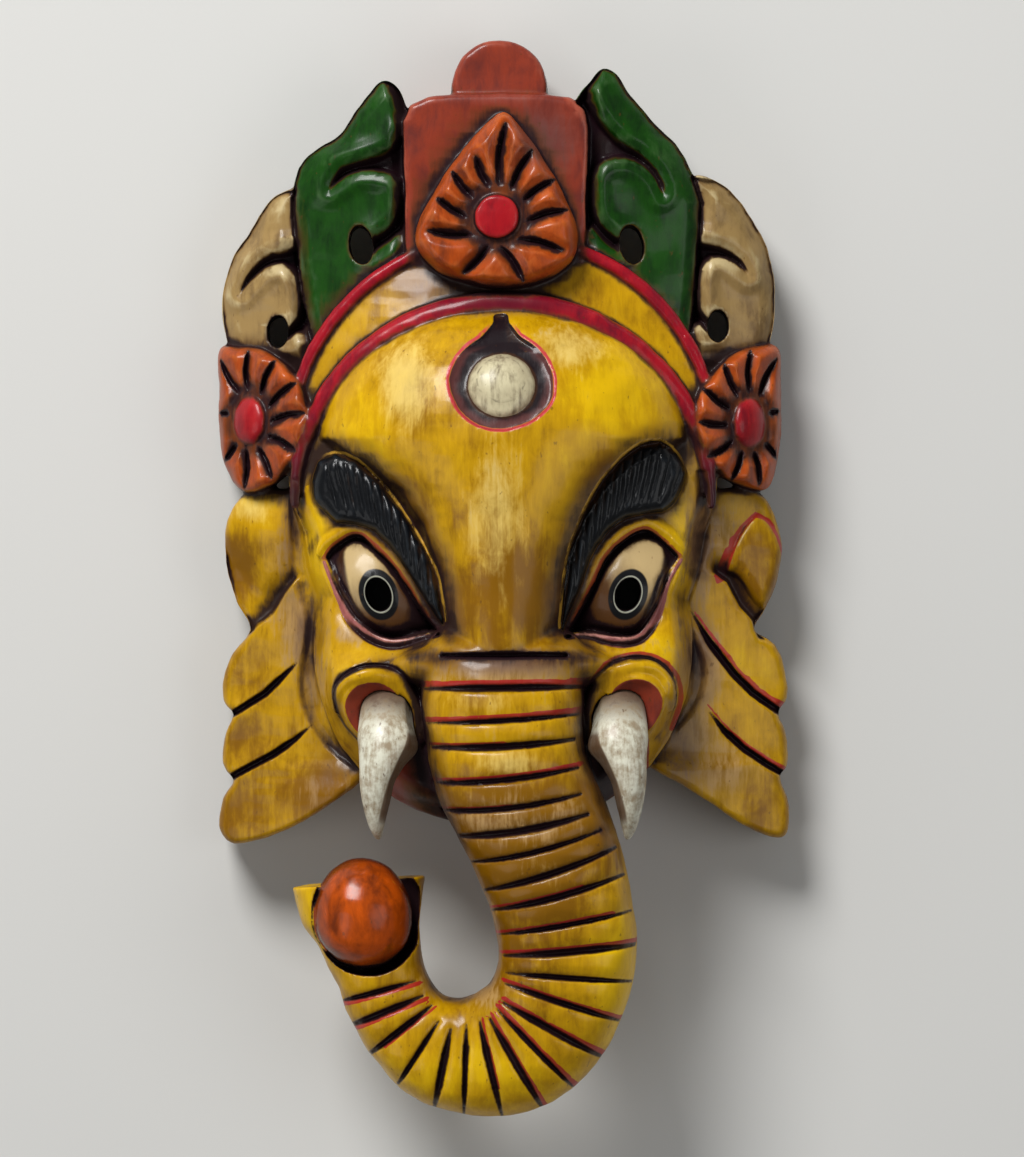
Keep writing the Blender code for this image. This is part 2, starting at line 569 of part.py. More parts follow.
def crown(paints, blanks, cutters):
    """The crown: block, knob, lotus petal, two green leaves, two pale outer leaves and side rosettes."""
    block_front = sloped(46, 0)
    leaf_front = sloped(44, 0.24, 30)
    outer_front = sloped(35, 0.45, 66)
    plate("crown_block", BLOCK, block_front, 46, 2.2, paints["brick"], blanks)
    work_level = sloped(41, 0)
    knob = [(KNOB_MIDDLE[0] + KNOB_RADIUS * math.cos(a), KNOB_MIDDLE[1] + KNOB_RADIUS * math.sin(a))
            for a in [math.radians(d) for d in range(-30, 211, 20)]]
    plate("crown_knob", knob, work_level, 30, 2.0, paints["brick"], blanks)
    petal_front = sloped(62, 0.05)
    rosette("lotus_petal", PETAL, PETAL_HEART, petal_front, 22, 11, paints["orange"], blanks)
    post("lotus_heart", PETAL_HEART, 8, 8, 52, 64, paints["red"], blanks, sides=14, top=0.92)
    for side, outline, curl, hole, dip in (
        ("left", LEFT_LEAF, LEFT_CURL, LEAF_HOLES[0], LEFT_NOTCH),
        ("right", RIGHT_LEAF, RIGHT_CURL, LEAF_HOLES[1], RIGHT_NOTCH),
    ):
        plate(f"{side}_leaf", outline, leaf_front, 26, 2.2, paints["green"], blanks)
        notch(f"{side}_leaf_dip", dip, leaf_front, 6, paints["green"], cutters)
        post(f"{side}_leaf_hole", hole, LEAF_HOLE_HALF_WIDTH / STEP, LEAF_HOLE_HALF_HEIGHT / STEP,
             -PAST / STEP, 90, paints["green"], cutters, sides=12, turn=math.radians(8))
    for side, outline, hole, dip in (
        ("left", LEFT_OUTER_LEAF, OUTER_HOLES[0], LEFT_OUTER_NOTCH),
        ("right", RIGHT_OUTER_LEAF, OUTER_HOLES[1], RIGHT_OUTER_NOTCH),
    ):
        plate(f"{side}_outer_leaf", outline, outer_front, 22, 2.2, paints["cream"], blanks)
        notch(f"{side}_outer_dip", dip, outer_front, 5, paints["cream"], cutters)
        post(f"{side}_outer_hole", hole, OUTER_HOLE_HALF_WIDTH / STEP, OUTER_HOLE_HALF_HEIGHT / STEP,
             -PAST / STEP, 90, paints["cream"], cutters, sides=12)
    rosette_front = sloped(52, 0.85, 64)
    for side, outline, heart in (
        ("left", LEFT_ROSETTE, LEFT_ROSETTE_HEART),
        ("right", RIGHT_ROSETTE, RIGHT_ROSETTE_HEART),
    ):
        rosette(f"{side}_rosette", outline, heart, rosette_front, 22, 10, paints["orange"], blanks)
        level = rosette_front(*heart)
        work, tagged = ball_of_rings(12, 4)
        bmesh.ops.scale(work, vec=(5.4, 8.2, 4.2), verts=work.verts)
        for vertex in work.verts:
            vertex.co.z -= 0.85 * vertex.co.x * math.copysign(1, heart[0])
        bmesh.ops.translate(work, vec=(*heart, level - 1), verts=work.verts)
        finished(f"{side}_rosette_heart", work, paints["red"], blanks)
    rim = arc(BAND_MIDDLE, BAND_RADIUS, BAND_RADIUS, 18, 162, 16)
    tube("outer_bead", on_surface(rim, head_level, 0.6, [1] * len(rim)), 2.4, paints["red"], blanks)
    brim = arc(BEAD_MIDDLE, BEAD_HALF_WIDTH, BEAD_HALF_HEIGHT, -6, 186, 22)
    tube("inner_bead", on_surface(brim, base_level, 0.8, taper(len(brim), 0.62)), 3.5, paints["red"], blanks)


def face(paints, blanks, cutters):
    """Brows, eyes, lids, cheek pockets and the round mark on the forehead."""
    lid_level = lambda x, y: base_level(x, y) - 2.4
    for side, flip in (("left", False), ("right", True)):
        turned = mirrored if flip else list
        way = 1 if flip else -1
        brow(f"{side}_brow", way, paints["black"], blanks)
        upper = turned(through(UPPER_LID, 2))
        lower = turned(through(LOWER_LID, 2))
        tube(f"{side}_upper_lid", on_surface(upper, lid_level, 0.6, taper(len(upper), 0.5)), 3.0, paints["yellow"], blanks)
        tube(f"{side}_lower_lid", on_surface(lower, lid_level, -0.4, taper(len(lower), 0.5)), 2.3, paints["brick"], blanks)
        ellipsoid(f"{side}_eyeball", (way * 41.0, 174.5, 43.5), (14.0, 16.0, 11.5), paints["ivory"], blanks,
                  sides=12, rings=8, turn=way * math.radians(-25))
        post(f"{side}_pupil", (way * EYE[0], EYE[1]), PUPIL_HALF_WIDTH / STEP, PUPIL_HALF_HEIGHT / STEP,
             8, 90, paints["black"], cutters, sides=14, turn=way * math.radians(-18))
        arch = turned(through(POCKET_ARCH, 2))
        tube(f"{side}_cheek_arch", on_surface(arch, head_level, -0.2, taper(len(arch), 0.6)), 3.0, paints["yellow"], blanks)
        ellipsoid(f"{side}_cheek_pocket", (way * POCKET[0], POCKET[1] - 3, head_level(*POCKET) + 1.5), (10.6, 12.5, 8.5),
                  paints["brick"], cutters, sides=12, rings=6)
    mark = (-0.5, 245.5)
    top = head_level(*mark)
    tilt = Matrix.Rotation(math.radians(-19), 3, "X")
    work = bmesh.new()
    bmesh.ops.create_cone(work, cap_ends=True, segments=24, radius1=16.6, radius2=17.6, depth=20)
    bmesh.ops.translate(work, vec=(0, 0, 10 - 3.2), verts=work.verts)
    bmesh.ops.rotate(work, matrix=tilt, verts=work.verts)
    bmesh.ops.translate(work, vec=(*mark, top), verts=work.verts)
    finished("forehead_mark", work, paints["brick"], cutters)
    work, tagged = ball_of_rings(16, 6)
    bmesh.ops.scale(work, vec=(11, 11, 4.4), verts=work.verts)
    bmesh.ops.rotate(work, matrix=tilt, verts=work.verts)
    bmesh.ops.translate(work, vec=(mark[0], mark[1] - 1, top - 3), verts=work.verts)
    return finished("forehead_disc", work, paints["ivory"], blanks)


def ears(paints, blanks, cutters):
    """Two feathered ears that fall back from the cheeks, with slits between their lobes and a scooped top."""
    ear_front = sloped(40, 0.46, 56)
    for side, outline in (("left", LEFT_EAR), ("right", RIGHT_EAR)):
        plate(f"{side}_ear", outline, ear_front, 17, 2.4, paints["yellow"], blanks)
        for i, line in enumerate(EAR_FOLDS[side]):
            fold(f"{side}_ear_slit_{i}", line, ear_front, 5, 1.5, paints["black"], cutters)
    for side, middle in zip(("left", "right"), EAR_SCOOPS):
        ellipsoid(f"{side}_ear_scoop", (*middle, ear_front(*middle) + 3), (7.5, 12, 7), paints["yellow"], cutters,
                  sides=12, rings=8)


def nose(paints, blanks, cutters):
    """The trunk, the cup cut into its end and the sweet that it holds."""
    trunk("trunk", paints["yellow"], blanks)
    ball = BALL_RADIUS / STEP
    cup = ball + CUP_GAP / STEP
    floor = BALL_LEVEL - ball + BALL_ROOT / STEP
    middle = (BALL[0] + CUP_SHIFT[0], BALL[1] + CUP_SHIFT[1])
    work, tagged = ball_of_rings(14, 8)
    for vertex, ring, angle in tagged:
        share = math.sin(math.pi * ring / 8)
        if 0 < ring < 4:
            share = 1.0
        depth = BALL_LEVEL - floor if vertex.co.z < 0 else 50.0
        vertex.co = (middle[0] + cup * share * math.cos(angle), middle[1] + cup * 1.08 * share * math.sin(angle),
                     BALL_LEVEL + vertex.co.z * depth)
    finished("cup", work, paints["black"], cutters)
    late = ellipsoid("sweet", (*BALL, BALL_LEVEL), (ball, ball * 1.1, ball), paints["orange"], blanks,
                     sides=14, rings=8, turn=math.radians(9))
    return late


def main():
    for old in list(bpy.data.objects):
        bpy.data.objects.remove(old)
    scene = bpy.context.scene.collection
    made = {}
    for name in ("Ganesha mask", "blanks", "late blanks", "cutters"):
        made[name] = bpy.data.collections.new(name)
        scene.children.link(made[name])
    parts, blanks, cutters = made["Ganesha mask"], made["blanks"], made["cutters"]
    paints = {
        "yellow": paint("ochre yellow paint", YELLOW), "green": paint("leaf green paint", GREEN, 0.25),
        "cream": paint("cream paint", CREAM), "brick": paint("brick red paint", BRICK),
        "orange": paint("orange paint", ORANGE, 0.28), "red": paint("bright red paint", RED),
        "black": paint("black paint", BLACK, 0.25), "ivory": paint("ivory white paint", IVORY, 0.45),
    }
    mask = head("mask", paints["yellow"], parts)
    mask.hide_render = False
    mask.display_type = "TEXTURED"
    crown(paints, blanks, cutters)
    disc = face(paints, blanks, cutters)
    ears(paints, blanks, cutters)
    sweet = nose(paints, blanks, cutters)
    for late in (disc, sweet):
        blanks.objects.unlink(late)
        made["late blanks"].objects.link(late)
    hollow("hollow_back", paints["black"], cutters)
    nail = HANG_HOLE_DEPTH / STEP
    post("hanging_hole", (-1, 322), HANG_HOLE_RADIUS / STEP, HANG_HOLE_RADIUS / STEP, -nail, nail,
         paints["black"], cutters)
    for side, way in (("left", -1), ("right", 1)):
        tusk(f"{side}_tusk_seat", way, TUSK_SEAT_GAP, paints["brick"], cutters, True)
        horn = tusk(f"tusk_{side}", way, 0.0, paints["ivory"], parts, False)
        horn.data.shade_smooth()
    for operation, group in (("UNION", blanks), ("DIFFERENCE", cutters), ("UNION", made["late blanks"])):
        join = mask.modifiers.new(f"{operation.lower()} {group.name}", "BOOLEAN")
        join.operation = operation
        join.operand_type = "COLLECTION"
        join.collection = group
        join.solver = "EXACT" if group is blanks else "MANIFOLD"
        join.material_mode = "TRANSFER"


main()
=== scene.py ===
import json
import math
import bmesh
import bpy
import numpy as np
from mathutils import Matrix, Vector, noise
from mathutils.bvhtree import BVHTree

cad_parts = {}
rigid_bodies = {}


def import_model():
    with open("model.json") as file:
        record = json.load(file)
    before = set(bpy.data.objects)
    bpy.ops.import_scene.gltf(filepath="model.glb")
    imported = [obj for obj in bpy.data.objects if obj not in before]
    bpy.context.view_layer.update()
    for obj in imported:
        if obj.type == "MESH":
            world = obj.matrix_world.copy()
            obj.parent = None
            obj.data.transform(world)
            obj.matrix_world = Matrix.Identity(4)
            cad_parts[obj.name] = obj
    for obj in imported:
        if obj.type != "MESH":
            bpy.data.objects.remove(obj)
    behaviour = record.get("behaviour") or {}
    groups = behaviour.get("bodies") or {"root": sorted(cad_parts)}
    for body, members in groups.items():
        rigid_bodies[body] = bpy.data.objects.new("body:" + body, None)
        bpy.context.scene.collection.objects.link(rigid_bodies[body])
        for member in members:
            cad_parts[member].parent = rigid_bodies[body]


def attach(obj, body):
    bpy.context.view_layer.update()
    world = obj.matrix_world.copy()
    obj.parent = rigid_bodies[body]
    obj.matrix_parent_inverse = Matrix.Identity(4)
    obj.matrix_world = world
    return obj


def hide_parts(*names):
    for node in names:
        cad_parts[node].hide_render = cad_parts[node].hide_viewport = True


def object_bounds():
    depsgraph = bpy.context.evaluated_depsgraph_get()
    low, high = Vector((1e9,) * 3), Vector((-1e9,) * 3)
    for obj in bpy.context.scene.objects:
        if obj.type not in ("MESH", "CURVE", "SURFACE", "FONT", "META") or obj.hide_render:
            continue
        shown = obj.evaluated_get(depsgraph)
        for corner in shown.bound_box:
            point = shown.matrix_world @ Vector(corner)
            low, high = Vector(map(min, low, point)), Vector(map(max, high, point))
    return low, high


for spare in list(bpy.data.objects):
    bpy.data.objects.remove(spare)
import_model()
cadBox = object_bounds()

# Everything is drawn in millimetres on the mask as it lies: x to the viewer's right, y up to the
# crown from the trunk's lowest point, z out of the face from the flat back.
drawn = {"midX": 0.1, "midY": 180.5, "toMetres": 0.001}
bothSides = (("Left", -1), ("Right", 1))


def ramp(low, high, value):
    share = np.clip((value - low) / (high - low), 0, 1)
    return share * share * (3 - 2 * share)


def spline(points, steps, closed=False):
    # points on a smooth curve through the given ones
    count = len(points)
    made = []
    for i in range(count if closed else count - 1):
        ring = []
        for j in range(i - 1, i + 3):
            ring.append(points[j % count] if closed else points[min(max(j, 0), count - 1)])
        a, b, c, d = [np.array(p, float) for p in ring]
        for k in range(steps):
            t = k / steps
            curve = 2 * b + (c - a) * t + (2 * a - 5 * b + 4 * c - d) * t ** 2
            curve = curve + (3 * b - a - 3 * c + d) * t ** 3
            made.append(tuple(0.5 * curve))
    return made if closed else made + [tuple(map(float, points[-1]))]


def arc(middle, across, up, start, end, count):
    angles = np.radians(np.linspace(start, end, count + 1))
    return [(middle[0] + across * math.cos(a), middle[1] + up * math.sin(a)) for a in angles]


# the face's broad surface
face = {
    "middle": (0.0, 195.0), "level": 60.0, "peak": 82.0, "fallSide": 14.0, "fallCrown": 9.0,
    "reach": [(-90, 98), (-73, 97), (-62, 94), (-52, 89), (-35, 77), (-20, 65.5), (0, 67), (30, 82.3),
              (60, 95.2), (90, 100)],
    "bulge": [(150, 15), (156, 17), (166, 20), (173, 21), (186, 23.5), (199, 28.5), (209, 36), (217, 46),
              (222, 55), (227, 61)],
    "bulgeTop": 226.0, "bulgeTopReach": 44.0, "bridgeEnd": 153.0, "eye": (41.5, 174.5),
    "socketDepth": 5.5, "cheekRise": 14.0, "cheek": (47.0, 141.0),
}


def headReach(angle):
    degrees = np.degrees(np.arcsin(np.sin(angle)))
    return np.interp(degrees, [r[0] for r in face["reach"]], [r[1] for r in face["reach"]])


def baseLevel(x, y):
    return (face["level"] - face["fallSide"] * (x / 64) ** 2
            - face["fallCrown"] * (np.maximum(0, y - 215) / 60) ** 2)


def headLevel(x, y):
    side = np.abs(x)
    upper = np.hypot(side / face["bulge"][-1][1], (y - face["bulgeTop"]) / face["bulgeTopReach"])
    lower = side / np.interp(y, [r[0] for r in face["bulge"]], [r[1] for r in face["bulge"]])
    off = np.where(y > face["bulgeTop"], upper, lower)
    bulge = np.maximum(0, 1 - off * off) ** 0.55 * (face["peak"] - face["level"])
    bulge = bulge * ramp(face["bridgeEnd"] - 1.5, face["bridgeEnd"] + 2.5, y)
    eyeX, eyeY = face["eye"]
    cheekX, cheekY = face["cheek"]
    socket = face["socketDepth"] * np.exp(-(((side - eyeX) / 14) ** 2 + ((y - eyeY) / 15) ** 2))
    cheek = face["cheekRise"] * np.exp(-(((side - cheekX) / 15) ** 2 + ((y - cheekY) / 17) ** 2))
    away = np.hypot(side, y - face["middle"][1])
    edge = away / headReach(np.arctan2(y - face["middle"][1], side))
    rounding = 11 * ramp(0.90, 1.02, edge) * ramp(225, 190, y)
    return baseLevel(x, y) + bulge - socket + cheek - rounding


def leaning(level, lean, foot=0.0):
    return lambda x, y: level - lean * np.maximum(0.0, np.abs(x) - foot)


# blanks are closed shapes that are joined or cut away before the fine carving
blanks = bpy.data.collections.new("blanks")
lateBlanks = bpy.data.collections.new("lateBlanks")
cutters = bpy.data.collections.new("cutters")
for group in (blanks, lateBlanks, cutters):
    bpy.context.scene.collection.children.link(group)


def keep(name, work, group, paint):
    bmesh.ops.remove_doubles(work, verts=work.verts, dist=0.005)
    bmesh.ops.recalc_face_normals(work, faces=work.faces)
    mesh = bpy.data.meshes.new(name)
    work.to_mesh(mesh)
    work.free()
    made = bpy.data.objects.new(name, mesh)
    made["paint"] = paint
    group.objects.link(made)
    return made


def curveMesh(name, points, closed, flat, settings, shares=None):
    curve = bpy.data.curves.new(name, "CURVE")
    curve.dimensions = "2D" if flat else "3D"
    for key, value in settings.items():
        setattr(curve, key, value)
    line = curve.splines.new("POLY")
    line.points.add(len(points) - 1)
    for i, (point, place) in enumerate(zip(line.points, points)):
        point.co = (place[0], place[1], 0 if flat else place[2], 1)
        point.radius = 1 if shares is None else shares[i]
    line.use_cyclic_u = closed
    guide = bpy.data.objects.new(name, curve)
    blanks.objects.link(guide)
    bpy.context.view_layer.update()
    mesh = bpy.data.meshes.new_from_object(guide.evaluated_get(bpy.context.evaluated_depsgraph_get()))
    bpy.data.objects.remove(guide)
    work = bmesh.new()
    work.from_mesh(mesh)
    bpy.data.meshes.remove(mesh)
    return work


def plate(name, outline, front, thick, edge, paint, steps=4):
    # a flat outline with rounded edges, sheared so that its front follows a sloping surface
    rounded = {"fill_mode": "BOTH", "extrude": thick / 2 - edge, "bevel_depth": edge, "bevel_resolution": 3,
               "offset": -edge}
    points = spline(outline, steps, closed=True) if steps > 1 else outline
    work = curveMesh(name, points, True, True, rounded)
    for vertex in work.verts:
        vertex.co.z += front(vertex.co.x, vertex.co.y) - thick / 2
    return keep(name, work, blanks, paint)


def bead(name, path, level, lift, radius, thin, paint):
    # a round bar along a path drawn on a surface, thinner towards its ends
    last = len(path) - 1
    places = [(p[0], p[1], float(level(p[0], p[1])) + lift) for p in path]
    shares = [thin + (1 - thin) * max(0.0, math.sin(math.pi * i / last)) ** 0.6 for i in range(last + 1)]
    settings = {"bevel_depth": radius, "bevel_resolution": 5, "use_fill_caps": True}
    return keep(name, curveMesh(name, places, False, False, settings, shares), blanks, paint)


def ringed(sides, rings):
    # a sphere and, for each vertex, its ring from one pole and its angle round the axis
    work = bmesh.new()
    bmesh.ops.create_uvsphere(work, u_segments=sides, v_segments=rings, radius=1)
    tags = []
    for vertex in work.verts:
        tags.append((vertex, round(math.acos(min(1, max(-1, vertex.co.z))) / math.pi * rings),
                     math.atan2(vertex.co.y, vertex.co.x)))
    return work, tags


def egg(name, middle, radii, group, paint, turn=0.0, tilt=None):
    work, tags = ringed(40, 24)
    bmesh.ops.scale(work, vec=radii, verts=work.verts)
    bmesh.ops.rotate(work, matrix=Matrix.Rotation(turn, 3, "Z"), verts=work.verts)
    if tilt is not None:
        bmesh.ops.rotate(work, matrix=tilt, verts=work.verts)
    bmesh.ops.translate(work, vec=middle, verts=work.verts)
    return keep(name, work, group, paint)


def post(name, middle, across, up, low, high, group, paint, turn=0.0, top=1.0):
    work = bmesh.new()
    bmesh.ops.create_cone(work, cap_ends=True, segments=32, radius1=1, radius2=top, depth=high - low)
    bmesh.ops.scale(work, vec=(across, up, 1), verts=work.verts)
    bmesh.ops.rotate(work, matrix=Matrix.Rotation(turn, 3, "Z"), verts=work.verts)
    bmesh.ops.translate(work, vec=(*middle, (low + high) / 2), verts=work.verts)
    return keep(name, work, group, paint)


def betweenEdges(name, rows, squareness, sides, paint):
    # a bar swept between drawn edges; a row holds its outer and inner point, its front and half its depth
    work, tags = ringed(sides, len(rows) + 1)
    power = 2 / squareness
    for vertex, ring, angle in tags:
        outX, outY, inX, inY, front, half = rows[min(max(ring - 1, 0), len(rows) - 1)]
        out, rise = 0.0, 0.0
        if 0 < ring < len(rows) + 1:
            out = math.copysign(abs(math.cos(angle)) ** power, math.cos(angle))
            rise = math.copysign(abs(math.sin(angle)) ** power, math.sin(angle))
        vertex.co.x = (outX + inX) / 2 + (outX - inX) / 2 * out
        vertex.co.y = (outY + inY) / 2 + (outY - inY) / 2 * out
        vertex.co.z = front - half + half * rise
    return keep(name, work, blanks, paint)


# head and hollow
def makeHead():
    grid = {"across": 110, "up": 150}
    work = bmesh.new()
    bmesh.ops.create_grid(work, x_segments=grid["across"], y_segments=grid["up"], size=1)
    s = np.array([v.co.x for v in work.verts])
    t = np.array([v.co.y for v in work.verts])
    u = s * np.sqrt(1 - t * t / 2)
    v = t * np.sqrt(1 - s * s / 2)
    angle = np.arctan2(v, u)
    reach = headReach(angle) * np.hypot(u, v)
    x = face["middle"][0] + reach * np.cos(angle)
    y = face["middle"][1] + reach * np.sin(angle)
    for vertex, place in zip(work.verts, zip(x, y, headLevel(x, y))):
        vertex.co = place
    skirt = bmesh.ops.extrude_edge_only(work, edges=[e for e in work.edges if e.is_boundary])["geom"]
    for part in skirt:
        if isinstance(part, bmesh.types.BMVert):
            part.co.z = 0
    bmesh.ops.contextual_create(work, geom=[e for e in skirt if isinstance(e, bmesh.types.BMEdge)])
    return keep("maskPiece", work, bpy.context.scene.collection, "ground")


def makeHollow():
    hollow = {"wall": 14.0, "below": 3.0, "raised": 17.0, "raisedAt": 236.0, "raisedReach": 34.0}
    depth = face["level"] - hollow["wall"]
    sides, rings = 64, 40
    work, tags = ringed(sides, rings)
    for vertex, ring, angle in tags:
        share = math.sin(math.pi * ring / rings)
        reach = (float(headReach(angle)) - hollow["wall"]) * share
        x = reach * math.cos(angle)
        y = face["middle"][1] + reach * math.sin(angle)
        if ring < rings / 2:
            lift = math.exp(-((x / hollow["raisedReach"]) ** 2
                              + ((y - hollow["raisedAt"]) / hollow["raisedReach"]) ** 2))
            z = (depth + hollow["below"]) * max(0.0, 1 - share * share) ** 0.6 - hollow["below"]
            z += hollow["raised"] * lift
        else:
            z = -hollow["below"] - 20 * math.cos(math.pi * (1 - ring / rings))
        vertex.co = (x, y, z)
    return keep("hollow", work, cutters, "back")


# crown
crown = {
    "block": [(-33.5, 332.5), (-31, 338), (-25, 340.5), (-17.5, 341.5), (15, 341.5), (22.5, 340.5),
              (27.5, 336.5), (29, 330), (27.5, 284), (-32.5, 284)],
    "blockFront": 46.0, "knob": (-1.2, 344.0), "knobRadius": 16.0, "knobFront": 41.0,
    "petal": [(0.5, 335), (9, 326), (17.5, 312.5), (23, 301), (25, 291.5), (21.5, 284), (12.5, 278.5),
              (0.5, 276.5), (-11, 278), (-22.5, 282.5), (-28.5, 290), (-28, 298.5), (-22.5, 309.5),
              (-15, 320), (-7, 329.5)],
    "petalFront": 62.0, "flowerThick": 22,
    "leafLeft": [(-40, 346.5), (-35.5, 344), (-32.5, 338), (-27, 322.5), (-26, 283), (-48, 268), (-63, 254),
                 (-67.5, 272.5), (-69.5, 289.5), (-70.5, 306), (-68.5, 317.5), (-61.5, 324), (-54.5, 328.5),
                 (-49.5, 336), (-44.5, 342.5)],
    "leafRight": [(33.5, 350.5), (38, 348.5), (42.5, 342), (49.5, 333.5), (57.5, 325.5), (63, 316.5),
                  (66.5, 306), (65.5, 289.5), (64.5, 272.5), (61.5, 254), (46, 268), (23, 283),
                  (22.5, 306), (24, 337), (29.5, 346.5)],
    "outerLeft": [(-66, 310), (-74.5, 309), (-79.5, 305), (-85, 296.5), (-90.5, 288.5), (-94, 277.5),
                  (-94.5, 266.5), (-91.5, 256), (-89, 248), (-64, 248), (-62, 260), (-64, 289.5)],
    "outerRight": [(63, 314), (73, 312.5), (78.5, 307.5), (85, 298.5), (89.5, 288.5), (91.5, 276),
                   (90.5, 262.5), (87.5, 254), (86, 248), (62, 248), (60, 259.5), (61, 292.5)],
    "roseLeft": [(-95.5, 257), (-87.5, 257.5), (-80.5, 256.5), (-71.5, 250.5), (-66, 241.5), (-64.5, 232),
                 (-67.5, 221), (-75.5, 212), (-85.5, 208.5), (-91.5, 213.5), (-95.2, 224.5), (-95.7, 241)],
    "roseRight": [(92.5, 257.5), (84, 257.5), (75, 253.5), (67, 244.5), (63.5, 234.5), (65.5, 222.5),
                  (73.5, 213.5), (87.5, 209.5), (92, 217.5), (93.5, 229.5), (93.5, 246)],
    "hearts": {"petal": (-2.0, 300.0), "roseLeft": (-85.0, 233.0), "roseRight": (82.5, 232.0)},
    # reach across and up of the bare disc in each flower's heart
    "discs": {"petal": (9.6, 9.6), "roseLeft": (6.8, 9.6), "roseRight": (6.8, 9.6)},
    "leafHoles": {"Left": (-47.5, 291.5), "Right": (43.0, 291.5)},
    "outerHoles": {"Left": (-75.5, 262.5), "Right": (72.0, 264.5)},
}
leafFront = leaning(44, 0.24, 30)
outerFront = leaning(35, 0.45, 66)
roseFront = leaning(52, 0.85, 64)


def reachTo(outline, middle, angle):
    # how far the outline lies from a point inside it
    way = Vector((math.cos(angle), math.sin(angle)))
    far = 0.0
    for start, end in zip(outline, outline[1:] + outline[:1]):
        a = Vector(start) - Vector(middle)
        b = Vector(end) - Vector(start)
        cross = way.x * b.y - way.y * b.x
        if abs(cross) < 1e-9:
            continue
        along = (a.x * b.y - a.y * b.x) / cross
        share = (a.x * way.y - a.y * way.x) / cross
        if -1e-6 <= share <= 1 + 1e-6 and along > far:
            far = along
    return far


def rosette(name, front):
    heart = crown["hearts"][name]
    thick = crown["flowerThick"]
    # share of the way out from the heart, and drop below the front
    rings = [(0.0, 1.2), (0.2, 1.2), (0.34, 1.2), (0.5, 0.5), (0.7, 0.1), (0.84, 0.4), (0.92, 1.4),
             (0.97, 3.0), (1.0, 5.5), (1.0, thick * 0.6), (1.0, thick), (0.5, thick), (0.0, thick)]
    curved = spline(crown[name], 4, closed=True)
    work, tags = ringed(96, len(rings) - 1)
    for vertex, ring, angle in tags:
        share, drop = rings[ring]
        reach = reachTo(curved, heart, angle) * share
        x = heart[0] + reach * math.cos(angle)
        y = heart[1] + reach * math.sin(angle)
        vertex.co = (x, y, front(x, y) - drop)
    return keep(name, work, blanks, "orange")


def makeCrown():
    plate("block", crown["block"], leaning(crown["blockFront"], 0), crown["blockFront"], 2.2, "brick", 1)
    knob = arc(crown["knob"], crown["knobRadius"], crown["knobRadius"], -30, 210, 24)
    plate("knob", knob, leaning(crown["knobFront"], 0), 30, 2.0, "brick", 1)
    rosette("petal", leaning(crown["petalFront"], 0.05))
    post("petalDisc", crown["hearts"]["petal"], 8, 8, 52, 63.6, blanks, "discs", top=0.9)
    turn = math.radians(8)
    for side, way in bothSides:
        plate("leaf" + side, crown["leaf" + side], leafFront, 26, 2.6, "green")
        post("leafHole" + side, crown["leafHoles"][side], 4.0, 6.6, -20, 90, cutters, "dark", turn)
        plate("outer" + side, crown["outer" + side], outerFront, 22, 2.6, "cream")
        post("outerHole" + side, crown["outerHoles"][side], 3.6, 5.4, -20, 90, cutters, "dark")
        rosette("rose" + side, roseFront)
        heart = crown["hearts"]["rose" + side]
        work, tags = ringed(36, 16)
        bmesh.ops.scale(work, vec=(5.4, 8.2, 4.2), verts=work.verts)
        for vertex in work.verts:
            vertex.co.z -= 0.85 * vertex.co.x * way
        bmesh.ops.translate(work, vec=(*heart, roseFront(*heart) - 1), verts=work.verts)
        keep("roseDisc" + side, work, blanks, "discs")
    bead("outerBead", spline(arc((0, 222.7), 71.4, 71.4, 16, 164, 40), 2), headLevel, 0.6, 2.3, 1.0, "red")
    bead("innerBead", spline(arc((0, 205.5), 69.5, 65.4, -2, 182, 52), 2), baseLevel, 0.8, 4.6, 0.25, "red")


